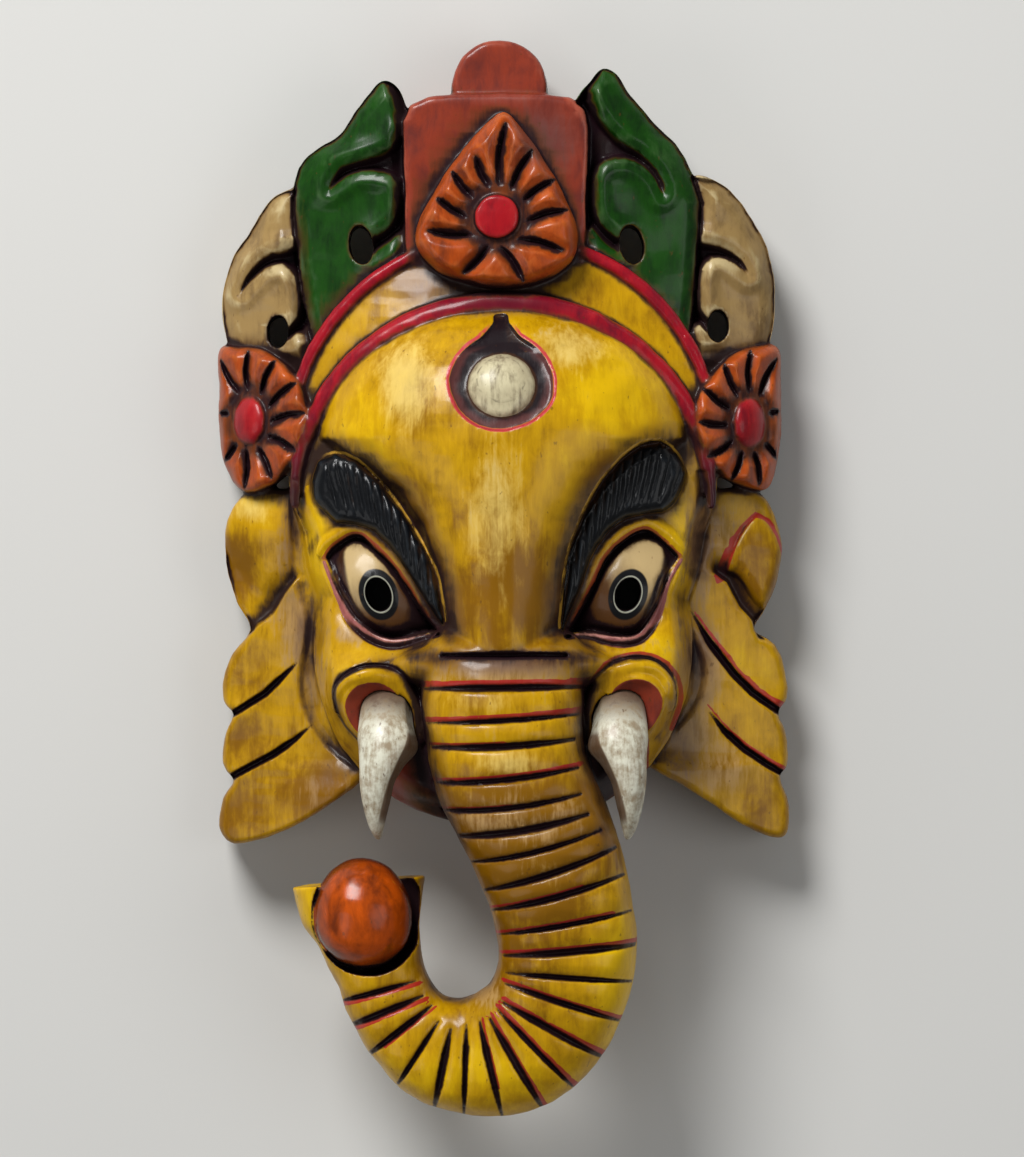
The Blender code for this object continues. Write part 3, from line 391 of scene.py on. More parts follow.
# brows, lids, eyes, cheeks and the round mark
features = {
    # brows, outer end to tail: upper edge, lower edge, height above the face
    "brows": {
        "Left": [(-64, 212, -63.2, 206, 0.5), (-61.5, 219, -60.3, 202.8, 3.6), (-56, 221.6, -55.5, 198.6, 5),
                 (-48.6, 219.3, -48.6, 197.6, 5.6), (-40.5, 211.3, -43, 195.6, 5.6),
                 (-33.7, 202.3, -37.7, 190.2, 5.4), (-27, 191.5, -32.3, 182.7, 5),
                 (-22.9, 183.3, -28.2, 176, 4.4), (-20.6, 175, -24.3, 170.2, 3.4),
                 (-19.4, 166.5, -20.4, 164, 2)],
        "Right": [(61, 215, 60.4, 211, 0.5), (58, 221.5, 58, 206, 3.8), (52.5, 225.6, 53.5, 202, 5.4),
                  (46, 224.6, 47.5, 201.2, 5.8), (39.5, 220, 41.2, 199.8, 5.8), (33, 212.6, 35.7, 196.4, 5.6),
                  (27.6, 203.3, 31.6, 190.9, 5.4), (22.9, 192.3, 28.3, 184.2, 5),
                  (20.5, 180.5, 26, 177.2, 4.2),
                  (19.3, 170.5, 22.6, 169.3, 3.2), (19.3, 164.2, 20.2, 162.4, 1.8)]},
    # the line where each lid meets the eye, outer corner to inner
    "upperLids": {
        "Left": [(-59.7, 185.8), (-56.6, 190.3), (-49.5, 194.3), (-44.1, 191.6), (-35.2, 182.2), (-28, 170.6),
                 (-21.8, 162.6)],
        "Right": [(59.3, 186.5), (52.1, 193.4), (46.6, 196.1), (38.9, 191.7), (33.3, 185.1), (28.4, 174.6),
                  (21.4, 161.8)]},
    "lowerLids": {
        "Left": [(-59.7, 185.2), (-55.4, 175), (-50.3, 166.3), (-43.3, 160.4), (-36.4, 158.4), (-28.3, 159.8),
                 (-21.5, 161.2)],
        "Right": [(59.5, 186), (55, 178.5), (52.2, 170.5), (47.7, 162.6), (43.3, 159.6), (36.6, 159.4),
                  (28.9, 160.8), (21.5, 160.6)]},
    "eyeballs": {
        "Left": [(-52.7, 188.6), (-49.5, 192), (-44, 189), (-38, 182.5), (-32, 174), (-27, 166.5),
                 (-25, 162.8), (-30, 161.6), (-36.4, 161.8), (-42, 163), (-46, 166), (-50, 172),
                 (-52, 181.7)],
        "Right": [(53, 190), (46.6, 193.4), (40.6, 190), (35, 183), (30.5, 174), (25.5, 164.5), (30, 163.4),
                  (37, 162.6), (42.5, 163.4), (46.2, 166.5), (50.2, 173.5), (52.8, 181)]},
    "lidHalf": 2.5, "eyeMiddle": (40.8, 175.5), "eyeTop": 57.0, "eyeRound": 0.021,
    "arches": {
        "Left": [(-55.4, 136), (-54.6, 141), (-52, 145), (-46.8, 147.6), (-40.6, 148), (-34.8, 146),
                 (-30.2, 139.6), (-28.2, 131.3), (-28, 124)],
        "Right": [(28.2, 124), (28.4, 133), (30.6, 142), (35.6, 148), (42.7, 150.5), (49.6, 149.8),
                  (53.9, 146), (55.8, 140), (55.6, 136)]},
    "archLines": {
        "Left": [(-47.8, 125.5), (-51.5, 129.6), (-54.6, 134), (-56.1, 140.3), (-54.8, 145.6), (-47.7, 150.1),
                 (-40.6, 150.9), (-33.2, 148.5), (-27.8, 140.3), (-26, 131.3), (-26, 121)],
        "Right": [(26, 121), (26, 131), (28.1, 143.1), (34.2, 150.5), (42.7, 153.2), (51, 152.2),
                  (56.3, 147.2), (57.5, 139.3), (55.5, 132), (51, 126.5)]},
    "pockets": {"Left": (-42.8, 132.8), "Right": (44.6, 134.4)}, "pocketRadii": (13.2, 12.4, 8.5),
    # the mark's middle, its lean in degrees, and how much shorter that makes it from the front
    "mark": (-0.5, 245.0), "markTilt": -19, "markShort": 0.945,
    "markOutline": [(-2.2, 24), (-2.8, 21), (-3.6, 19.5), (-6.6, 15.7), (-12, 11.6), (-15.6, 6.3), (-17.2, 0),
                    (-14.8, -8.4), (-8.6, -14.6), (-0.5, -16.6), (9.2, -14), (15.9, -7.6), (17.2, 0),
                    (15.5, 6.3), (12, 11.6), (6.6, 15.7), (3.6, 19.5), (2.6, 21), (1.8, 24)],
    "eyeball": (41.0, 174.5, 43.5), "eyeballRadii": (14.0, 16.0, 11.5), "pupil": (4.1, 5.6), "pupilTurn": -18,
}


def lidLevel(x, y):
    return baseLevel(x, y) - 2.4


def shifted(path, aside):
    # the path moved sideways, to its left if aside is positive
    made = []
    for i, point in enumerate(path):
        before, after = Vector(path[max(i - 1, 0)][:2]), Vector(path[min(i + 1, len(path) - 1)][:2])
        heading = (after - before).normalized()
        made.append((point[0] - heading.y * aside, point[1] + heading.x * aside))
    return made


def markEdge():
    # outline of the mark's hollow as seen from the front
    markX, markY = features["mark"]
    outline = [(markX + px, markY + py * features["markShort"]) for px, py in features["markOutline"]]
    return spline(outline, 4, closed=True)


def lidHalf(share, thin):
    # half width of the lower lid's band along its length
    return features["lidHalf"] * (thin + (1 - thin) * ramp(0.1, 0.5, share) * ramp(1.0, 0.65, share))


def browRing(side):
    rows = features["brows"][side]
    return [r[:2] for r in rows] + [r[2:4] for r in reversed(rows)]


def makeFeatures():
    for side, way in bothSides:
        rows = []
        for upX, upY, lowX, lowY, high in spline(features["brows"][side], 6):
            level = float(baseLevel((upX + lowX) / 2, (upY + lowY) / 2))
            rows.append((upX, upY, lowX, lowY, level + high, 5.0 + high / 2))
        betweenEdges("brow" + side, rows, 2.6, 32, "ground")
        upper = shifted(spline(features["upperLids"][side], 8), -2.5 * way)
        lower = shifted(spline(features["lowerLids"][side], 8), 0.3 * way)
        bead("upperLid" + side, upper, lidLevel, 1.0, 3.0, 0.25, "ground")
        bead("lowerLid" + side, lower, lidLevel, -0.6, 2.1, 0.35, "ground")
        ballX, ballY, ballZ = features["eyeball"]
        turn = way * math.radians(-25)
        egg("eyeball" + side, (way * ballX, ballY, ballZ), features["eyeballRadii"], blanks, "ground", turn)
        eyeX, eyeY = face["eye"]
        turn = way * math.radians(features["pupilTurn"])
        post("pupil" + side, (way * eyeX, eyeY), *features["pupil"], 8, 90, cutters, "dark", turn)
        bead("arch" + side, spline(features["arches"][side], 6), headLevel, -0.2, 2.6, 0.6, "ground")
        pocketX, pocketY = features["pockets"][side]
        level = float(headLevel(pocketX, pocketY + 3)) + 1.5
        egg("pocket" + side, (pocketX, pocketY, level), features["pocketRadii"], cutters, "pocket")
    egg("saddle", (0, 151, 60.5), (37, 9.5, 18.5), blanks, "ground")
    markX, markY = features["mark"]
    top = float(headLevel(markX, markY))
    tilt = Matrix.Rotation(math.radians(features["markTilt"]), 3, "X")
    outline = spline(features["markOutline"], 4, closed=True)
    work = curveMesh("markRecess", outline, True, True, {"fill_mode": "BOTH", "extrude": 10.0})
    bmesh.ops.translate(work, vec=(0, 0, 10 - 3.4), verts=work.verts)
    bmesh.ops.rotate(work, matrix=tilt, verts=work.verts)
    bmesh.ops.translate(work, vec=(markX, markY, top), verts=work.verts)
    keep("markRecess", work, cutters, "ground")
    egg("markDisc", (markX, markY - 1.5, top - 3.2), (10.8, 10.8, 4.6), lateBlanks, "disc", tilt=tilt)


# ears
ears = {
    "Left": [(-74, 210), (-84, 209.5), (-89.5, 205.5), (-93.5, 196), (-92.8, 183), (-89, 171), (-85, 162.5),
             (-91, 154.5), (-94.3, 145.5), (-94, 138), (-90.5, 134), (-93.5, 127.5), (-94.3, 117.5),
             (-90.5, 111.8), (-94.3, 106), (-95.3, 96), (-90.5, 90.5), (-79.5, 93), (-67.5, 98), (-56, 105.5),
             (-47, 113), (-40, 125), (-48, 160), (-55, 205)],
    "Right": [(74, 210), (84.5, 209.5), (91, 202), (94, 189.5), (91.5, 177.5), (87.5, 168.5), (84.5, 162.5),
              (91.5, 157.5), (95.5, 146), (95.5, 139.5), (92.5, 134.5), (95.3, 127.5), (95.8, 117.5),
              (93, 113), (96, 106), (96.3, 97.5), (93.3, 92.5), (80.5, 97), (65.5, 107.5), (50.5, 116),
              (40, 125), (48, 160), (55, 205)],
}
earFront = leaning(40, 0.46, 56)


def makeEars():
    for side, way in bothSides:
        plate("ear" + side, ears[side], earFront, 17, 2.4, "ground", 3)


# trunk, cup and sweet
trunk = {
    "rows": [(19, 166, -19, 166, 66, 10), (26.5, 157, -26, 157, 80, 20), (26.5, 148, -26.6, 148, 84, 24),
             (26.5, 139.5, -27, 139.5, 86, 24), (27.3, 122.5, -25, 122.5, 87.5, 24.6),
             (34, 106, -21, 106, 88, 24.4), (39.5, 89.5, -12.5, 89.5, 87.5, 23), (43, 72.5, -5, 72.5, 85, 22),
             (44.5, 56, -1.5, 57, 81, 21), (41.5, 39.5, -3.5, 46.5, 78, 20.5), (33.5, 22, -8, 42.4, 75.5, 20),
             (19.5, 7.5, -12.5, 40.6, 73, 19.5), (2.5, 1.0, -16, 40.2, 70.5, 19),
             (-16, 2, -19.5, 41, 69, 18.5), (-32, 8.5, -22.5, 43.5, 68, 18),
             (-43.5, 20.5, -24.6, 47, 68, 17.5), (-51, 33.5, -26.3, 51.5, 68.5, 17),
             (-55.5, 45, -27.4, 57, 69, 17), (-61.5, 57, -27.6, 64.5, 70, 17.5),
             (-67.5, 67, -27, 74, 71, 18), (-70, 77, -25.8, 81, 71, 18)],
    "squareness": 2.5, "sweet": (-46.5, 68.5), "sweetRadius": 17.2, "sweetLevel": 61.0, "cupGap": 1.5,
    "grooves": [(-20, 154.3, 20.7, 154.3, 0), (-25.7, 143.3, 26.7, 144, 0), (-24.7, 132, 25.3, 135, 0.6),
                (-23.3, 124, 23.3, 126.7, 1), (-22.7, 112.3, 24.7, 117.3, 1.4), (-23, 103.3, 25.7, 108.7, 2),
                (-19.3, 94.7, 28, 102, 2), (-15, 85.7, 32.3, 96.7, 2), (-9, 76.3, 37.3, 91, 1.8),
                (-4.3, 70, 40, 82, 1.2), (-1.3, 62, 42.7, 70, 0.6), (0.7, 55, 44, 58.7, 0.3),
                (1, 49.3, 43.7, 46.3, 0), (0.7, 45.7, 39.3, 33, 0), (0.3, 39.3, 33, 21, 0),
                (-1.7, 37, 24.3, 10, 0), (-4.3, 34, 13.3, 3.7, 0), (-7.7, 33, -0.3, 1.3, 0),
                (-12, 31.7, -13, 1.7, 0), (-17.3, 30.3, -22.7, 4.3, 0), (-21.3, 33, -36.3, 9.7, 0),
                (-23.7, 38, -46.7, 20, 0), (-26.7, 41.3, -53, 30.3, 0), (-29, 46.3, -55.3, 39, 0)],
}


def makeTrunk():
    betweenEdges("trunk", spline(trunk["rows"], 6), trunk["squareness"], 56, "ground")
    ball = trunk["sweetRadius"]
    cup = ball + trunk["cupGap"]
    level = trunk["sweetLevel"]
    middleX, middleY = trunk["sweet"][0] + 1.7, trunk["sweet"][1] - 0.2
    work, tags = ringed(48, 24)
    for vertex, ring, angle in tags:
        share = 1.0 if 0 < ring < 12 else math.sin(math.pi * ring / 24)
        depth = ball - 3 if vertex.co.z < 0 else 50
        vertex.co = (middleX + cup * share * math.cos(angle), middleY + cup * 1.08 * share * math.sin(angle),
                     level + vertex.co.z * depth)
    keep("cup", work, cutters, "cup")
    radii = (ball * 0.95, ball * 1.08, ball)
    egg("sweet", (*trunk["sweet"], level), radii, lateBlanks, "sweet", math.radians(9))


print("blanks")
maskPiece = makeHead()
headShape = maskPiece.data.copy()
makeHollow()
makeCrown()
makeFeatures()
makeEars()
makeTrunk()
post("nailHole", (-1, 322), 3.5, 3.5, -12, 12, cutters, "dark")

tusk = {
    "rows": [(-38.0, 143.0, 47, 6.0, 0.62), (-38.6, 139.0, 54, 8.0, 0.85), (-38.8, 132.0, 62, 9.0, 1.0),
             (-38.8, 125.5, 67, 9.4, 1.0), (-40.2, 118.5, 69.5, 7.6, 0.88), (-41.6, 111.5, 70, 5.9, 0.72),
             (-42.0, 104.0, 69, 4.2, 0.54), (-41.8, 97.5, 67, 2.5, 0.36), (-41.3, 94.0, 65.5, 1.1, 0.18)],
    "halfThick": 8.25, "seatGap": 0.3,
    # on the tusk that is seen: where its inner corner juts out and how far, and the turn of its inner facet
    "corner": (124.6, 0.16, 2.6), "facetTurn": 44,
}


def makeTusk(name, way, grow, group, paint):
    carved = paint == "tusk"
    rows = spline(tusk["rows"], 8)
    cornerY, jut, fade = tusk["corner"]
    work, tags = ringed(72 if carved else 36, len(rows) + 1)
    for vertex, ring, angle in tags:
        i = min(max(ring - 1, 0), len(rows) - 1)
        middle = Vector(rows[i][:3])
        heading = (Vector(rows[min(i + 1, len(rows) - 1)][:3]) - Vector(rows[max(i - 1, 0)][:3])).normalized()
        across = (Vector((1, 0, 0)) - heading * heading.x).normalized()
        if ring == 0:
            vertex.co = middle - heading * (1.5 + grow)
        elif ring == len(rows) + 1:
            vertex.co = middle + heading * (0.9 + grow)
        else:
            inner, back = tuskSection(angle) if carved else (math.cos(angle), math.sin(angle))
            if carved and inner > 0:
                inner *= 1 + jut * math.exp(-((middle.y - cornerY) / fade) ** 2)
                inner *= 1 - 0.12 * math.exp(-((middle.y - 114) / 5) ** 2)
            vertex.co = (middle + across * inner * (rows[i][3] + grow)
                         + across.cross(heading) * back * (tusk["halfThick"] * rows[i][4] + grow))
        vertex.co.x *= -way
    return keep(name, work, group, paint)


def tuskSection(angle):
    # a round cut off along its inner edge by a facet; shares of the half widths, inwards and back
    across, back = math.cos(angle), math.sin(angle)
    turn = math.degrees(math.atan2(-back, across))
    if 0 <= turn <= tusk["facetTurn"]:
        share = turn / tusk["facetTurn"]
        ridge = math.radians(tusk["facetTurn"])
        return 1 + (math.cos(ridge) - 1) * share, -math.sin(ridge) * share
    return across, back


for side, way in bothSides:
    makeTusk("tuskSeat" + side, way, tusk["seatGap"], cutters, "pocket")


# join, cut and remesh
def evaluated(piece):
    bpy.context.view_layer.update()
    graph = bpy.context.evaluated_depsgraph_get()
    mesh = bpy.data.meshes.new_from_object(piece.evaluated_get(graph))
    piece.modifiers.clear()
    old = piece.data
    piece.data = mesh
    bpy.data.meshes.remove(old)


remesh = {"voxel": 0.6, "most": 196000}
for operation, group in (("UNION", blanks), ("DIFFERENCE", cutters), ("UNION", lateBlanks)):
    join = maskPiece.modifiers.new(group.name, "BOOLEAN")
    join.operation = operation
    join.operand_type = "COLLECTION"
    join.collection = group
    join.solver = "MANIFOLD"
evaluated(maskPiece)
print("joined", len(maskPiece.data.polygons))
voxels = maskPiece.modifiers.new("voxels", "REMESH")
voxels.mode = "VOXEL"
voxels.voxel_size = remesh["voxel"]
evaluated(maskPiece)
print("remeshed", len(maskPiece.data.polygons))


# measuring helpers for the fine carving: all work on arrays of places
def nearLine(x, y, path):
    # distance from a drawn line, share of the way along it, and distance to its left (+) or right (-)
    line = np.array([p[:2] for p in path], float)
    run = np.hypot(*np.diff(line, axis=0).T)
    before = np.concatenate([[0], np.cumsum(run)])
    best = np.full(x.shape, 1e6)
    share = np.zeros(x.shape)
    side = np.full(x.shape, 1e6)
    for i, (a, b) in enumerate(zip(line, line[1:])):
        along = (b - a) / max(run[i], 1e-6)
        t = np.clip((x - a[0]) * along[0] + (y - a[1]) * along[1], 0, run[i])
        offX, offY = x - a[0] - along[0] * t, y - a[1] - along[1] * t
        gap = np.hypot(offX, offY)
        closer = gap < best
        best = np.where(closer, gap, best)
        share = np.where(closer, (before[i] + t) / before[-1], share)
        side = np.where(closer, along[0] * offY - along[1] * offX, side)
    return best, share, side


def within(x, y, outline):
    # distance inside a closed outline, negative outside it
    ring = list(outline) + [outline[0]]
    gap, share, side = nearLine(x, y, ring)
    crossings = np.zeros(x.shape, int)
    for (ax, ay), (bx, by) in zip(ring, ring[1:]):
        if ay == by:
            continue
        spans = (ay > y) != (by > y)
        crossings += spans & (x < ax + (bx - ax) * (y - ay) / (by - ay))
    return np.where(crossings % 2 == 1, gap, -gap)


def waves(x, y, z, size, seed):
    # slow unevenness between about -1 and 1, as a carver's tools leave
    chance = np.random.default_rng(seed)
    total = np.zeros(x.shape)
    for i in range(7):
        way = chance.normal(size=3)
        way = way / np.linalg.norm(way) * chance.uniform(0.6, 1.5) * 2 * math.pi / size
        total += np.sin(way[0] * x + way[1] * y + way[2] * z + chance.uniform(0, 6.28))
    return total / 3.5


# fine carving
# Each cut: a drawn path, half width, depth, and the share of its width left at the start and at the end.
# half width and depth of each kind
cuts = {"groove": (1.3, 2.4), "hairs": (0.8, 0.8), "petal": (0.95, 2.2), "rose": (0.8, 2.2)}


def bowed(x1, y1, x2, y2, bow, steps=6):
    made = []
    for i in range(steps + 1):
        t = i / steps
        lift = -bow * 4 * t * (1 - t)
        made.append((x1 + (x2 - x1) * t, y1 + (y2 - y1) * t + lift))
    return made


def trunkCuts():
    half, depth = cuts["groove"]
    made = []
    for i, (x1, y1, x2, y2, bow) in enumerate(trunk["grooves"]):
        wide = 1.0 if i == 0 else half * (0.85 + 0.2 * math.sin(i * 2.4))
        first = 0.7 if i == 0 else 0.35
        made.append((bowed(x1, y1, x2, y2, bow), wide, 3.2 if i == 0 else depth, first, first + 0.15))
    return made


def radialCuts(name):
    # the creases between a flower's petals, from its rim to the disc in its heart
    heart, disc = crown["hearts"][name], crown["discs"][name]
    half, depth = cuts["petal" if name == "petal" else "rose"]
    made = []
    for (x1, y1), (x2, y2) in flowers[name]:
        reach = math.hypot((x2 - heart[0]) / disc[0], (y2 - heart[1]) / disc[1])
        x2, y2 = heart[0] + (x2 - heart[0]) / reach, heart[1] + (y2 - heart[1]) / reach
        bend = ((x1 + x2) / 2 + 0.06 * (y2 - y1), (y1 + y2) / 2 - 0.06 * (x2 - x1))
        made.append((spline([(x1, y1), bend, (x2, y2)], 3), half, depth, 0.5, 0.1))
    return made


flowers = {
    # outer and inner end of each crease between petals
    "petal": [((1, 331), (-0.7, 314.7)), ((-9, 319.7), (-5, 312.3)), ((-16.7, 314.7), (-10, 306.3)),
              ((-21.7, 306), (-12.3, 299.7)), ((-24.7, 295.3), (-12, 292.3)), ((-13, 281.3), (-5.3, 288)),
              ((6.7, 278.7), (-0.7, 287.3)), ((19.7, 288.7), (6.7, 290)), ((21.3, 302.3), (8.3, 298)),
              ((17, 312.3), (8.3, 306)), ((9.7, 322), (6, 314.7))],
    "roseLeft": [((-94.8, 253), (-88.5, 243)), ((-85.5, 256), (-85.5, 244)), ((-76.5, 252.5), (-80.5, 242.5)),
                 ((-69.5, 245), (-77.5, 237.5)), ((-66.5, 235), (-77.5, 232)), ((-69.5, 222.5), (-78.5, 227)),
                 ((-77.5, 213.5), (-82, 223)), ((-86.5, 210.5), (-86.5, 222)), ((-94, 219), (-89.5, 225)),
                 ((-95, 235.5), (-91, 235))],
    "roseRight": [((92, 253.5), (86.5, 243)), ((83, 256), (82.5, 244)), ((74, 251.5), (78, 242)),
                  ((67, 243), (75, 237)), ((65.5, 232), (75, 231)), ((68.5, 220.5), (76.5, 225.5)),
                  ((76.5, 213), (80, 222)), ((86, 211.5), (84, 221.5)), ((92, 220), (87, 226)),
                  ((93, 236), (88, 234.5))],
}
slits = {
    "earLeft": [([(-95.5, 131.5), (-88.3, 135.8), (-79.8, 141.2), (-73.5, 147.2), (-68.7, 151.9)],
                 1.25, 3.6, 1.0, 0.1),
                ([(-96, 110.5), (-89.2, 114.2), (-77.1, 120.7), (-70, 125.6), (-64.2, 130.5)],
                 1.25, 3.6, 1.0, 0.1)],
    "earRight": [([(97, 133), (92.1, 135.6), (83.8, 141.4), (77.2, 148), (68.9, 158.8), (62.7, 169.2)],
                  1.35, 4.2, 1.0, 0.05),
                 ([(97.5, 112.5), (93, 114.8), (88.8, 117.3), (81.3, 122.3), (73.9, 128.9), (68.5, 136)],
                  1.2, 4.0, 1.0, 0.05)],
}
gaps = {
    # sunk areas between a leaf's tip, its curl and what stands beside it
    "leafLeft": [(-58.1, 309.9), (-57, 313.5), (-54.1, 317.5), (-47.9, 319.7), (-42.3, 321.6), (-37, 324.5),
                 (-31, 330), (-31, 300), (-35, 294.5), (-40, 290.5), (-44.5, 288), (-44, 293.5),
                 (-41.7, 294.8), (-37.5, 298), (-34.9, 303.7), (-35.2, 312.3), (-40.5, 315),
                 (-47.3, 315.7), (-52.8, 313.7)],
    "leafRight": [(53.4, 308), (54, 311), (51.3, 316.5), (45.7, 322.3), (39, 326.5), (33, 333), (25, 342),
                  (25, 300), (29.5, 297), (33, 292.5), (38.5, 288.8), (39.5, 293), (37.8, 293.8),
                  (32.6, 298.6), (30.2, 304.6), (30.4, 314.4), (34.4, 318.6), (40.6, 319.8), (46.7, 317.7),
                  (51.3, 312.8)],
    "outerLeft": [(-88.3, 275.5), (-86.3, 281), (-80.7, 287.5), (-74, 290), (-62, 290), (-64, 265),
                  (-69, 261.5), (-72.5, 259.5), (-72.3, 263.5), (-69, 267.5), (-67.8, 275), (-69.5, 281),
                  (-74, 284.5), (-79, 283.8), (-84.5, 279.5)],
    "outerRight": [(82.4, 281.5), (80, 286.8), (73, 291.3), (66, 292.5), (60, 292), (61, 268), (66, 264.5),
                   (68.8, 262), (69, 266), (66.3, 270), (65.3, 277), (66.5, 283.5), (70, 286.7), (75, 286.8),
                   (79.5, 284)],
}
tips = {
    # creases from the green leaves' tips down, with the side that falls away from them
    "leafLeft": ([(-41, 348), (-38.5, 340), (-37, 333), (-34, 322)], 1),
    "leafRight": ([(33.5, 352), (31.5, 343), (33, 333), (36, 326)], -1),
}
folds = {
    # upper edge of each ear's feathers, and what is above it: a dip on one ear, a raised lobe on the other
    "earLeft": [(-85, 161.5), (-82.5, 164.2), (-77.1, 168.4), (-73.6, 174.5), (-70.5, 178.5)],
    "earRight": [(85, 162.5), (83.9, 165.7), (79.5, 170.8), (75.2, 178.9), (72, 181)],
    "dip": [(-93, 184), (-88, 179), (-83, 173.5), (-78.5, 172)],
    "lobe": [(74.5, 182.5), (77.5, 190.5), (80.5, 196), (84.9, 200.8), (89, 199), (92.6, 194), (95, 187),
             (92.5, 177.5), (88.5, 170), (84.5, 172), (79, 180)],
    "reach": 5.0,
}
faceEdge = {
    "Left": [(-69.6, 212), (-69.6, 203), (-68.5, 185.5), (-65.9, 175.2), (-62.9, 166.4), (-63.7, 156.3),
             (-65.5, 146), (-63.7, 134.2), (-57.1, 124), (-49.1, 117.4)],
    "Right": [(66, 219), (67.1, 200), (62.7, 182.5), (59.1, 170.8), (59.8, 163.5), (64.2, 153.3),
              (64.9, 144.5), (61.3, 135.7), (53.5, 127), (49.6, 119)],
}


def hairCuts(side):
    # near-upright cuts down each brow, leaning in towards the nose at its outer end
    half, depth = cuts["hairs"]
    rows = features["brows"][side]
    way = -1 if side == "Left" else 1
    upper = sorted((abs(r[0]), r[1]) for r in rows)
    lower = sorted((abs(r[2]), r[3]) for r in rows)
    made = []
    for i in range(12):
        top = 24.5 + i * 3.15
        high = float(np.interp(top, *zip(*upper)))
        deep = high - float(np.interp(top - 1.5, *zip(*lower)))
        lean = deep * (0.06 + 0.018 * i)
        line = []
        for share in (0.12, 0.5, 0.9):
            across = top - lean * share + 0.5 * math.sin(math.pi * share)
            line.append((way * across, high - deep * share))
        made.append((line, half, depth, 0.6, 0.3))
    return made


def engraved(x, y, wanted):
    # how deep the cuts go at each place, and how far it lies outside the nearest cut's edge
    deep = np.zeros(x.shape)
    outside = np.full(x.shape, 6.0)
    for path, half, depth, first, last in wanted:
        span = np.array([p[:2] for p in path])
        low, high = span.min(0) - half - 4, span.max(0) + half + 4
        near = np.flatnonzero((x > low[0]) & (x < high[0]) & (y > low[1]) & (y < high[1]))
        if not len(near):
            continue
        gap, share, side = nearLine(x[near], y[near], path)
        start = first + (1 - first) * share / 0.3
        end = last + (1 - last) * (1 - share) / 0.3
        wide = half * np.minimum(1, np.minimum(start, end))
        hollow = np.clip(1.25 - 1.25 * (gap / wide) ** 1.6, 0, 1)
        deep[near] = np.maximum(deep[near], depth * wide / half * hollow)
        outside[near] = np.minimum(outside[near], gap - wide)
    return deep, outside


# heights and depths that the knife leaves, in millimetres
knife = {
    "trunkRings": 0.8, "petalRise": 1.9, "petalSlope": 1.5, "lobeLeft": 3.5, "dip": 3.6, "scoopLeft": 3.0,
    "lobeRight": 3.0, "scoopRight": 4.5, "brink": 1.0, "feather": 1.0, "markNeck": 2.0, "leafGap": 6.0,
    "leafSwell": 1.6, "leafEdge": 2.2, "browFoot": 0.8, "browRise": 5.2, "lidRise": 1.8,
    # half width, depth, and shares of the width at both ends
    "faceCrease": (3.6, 1.5, 0.5, 0.5), "lidCrease": (0.75, 1.4, 0.4, 0.3),
    "archCrease": (0.9, 1.3, 0.3, 0.3),
    # keeps the dark paint out of a cut
    "unpainted": 10.0,
}


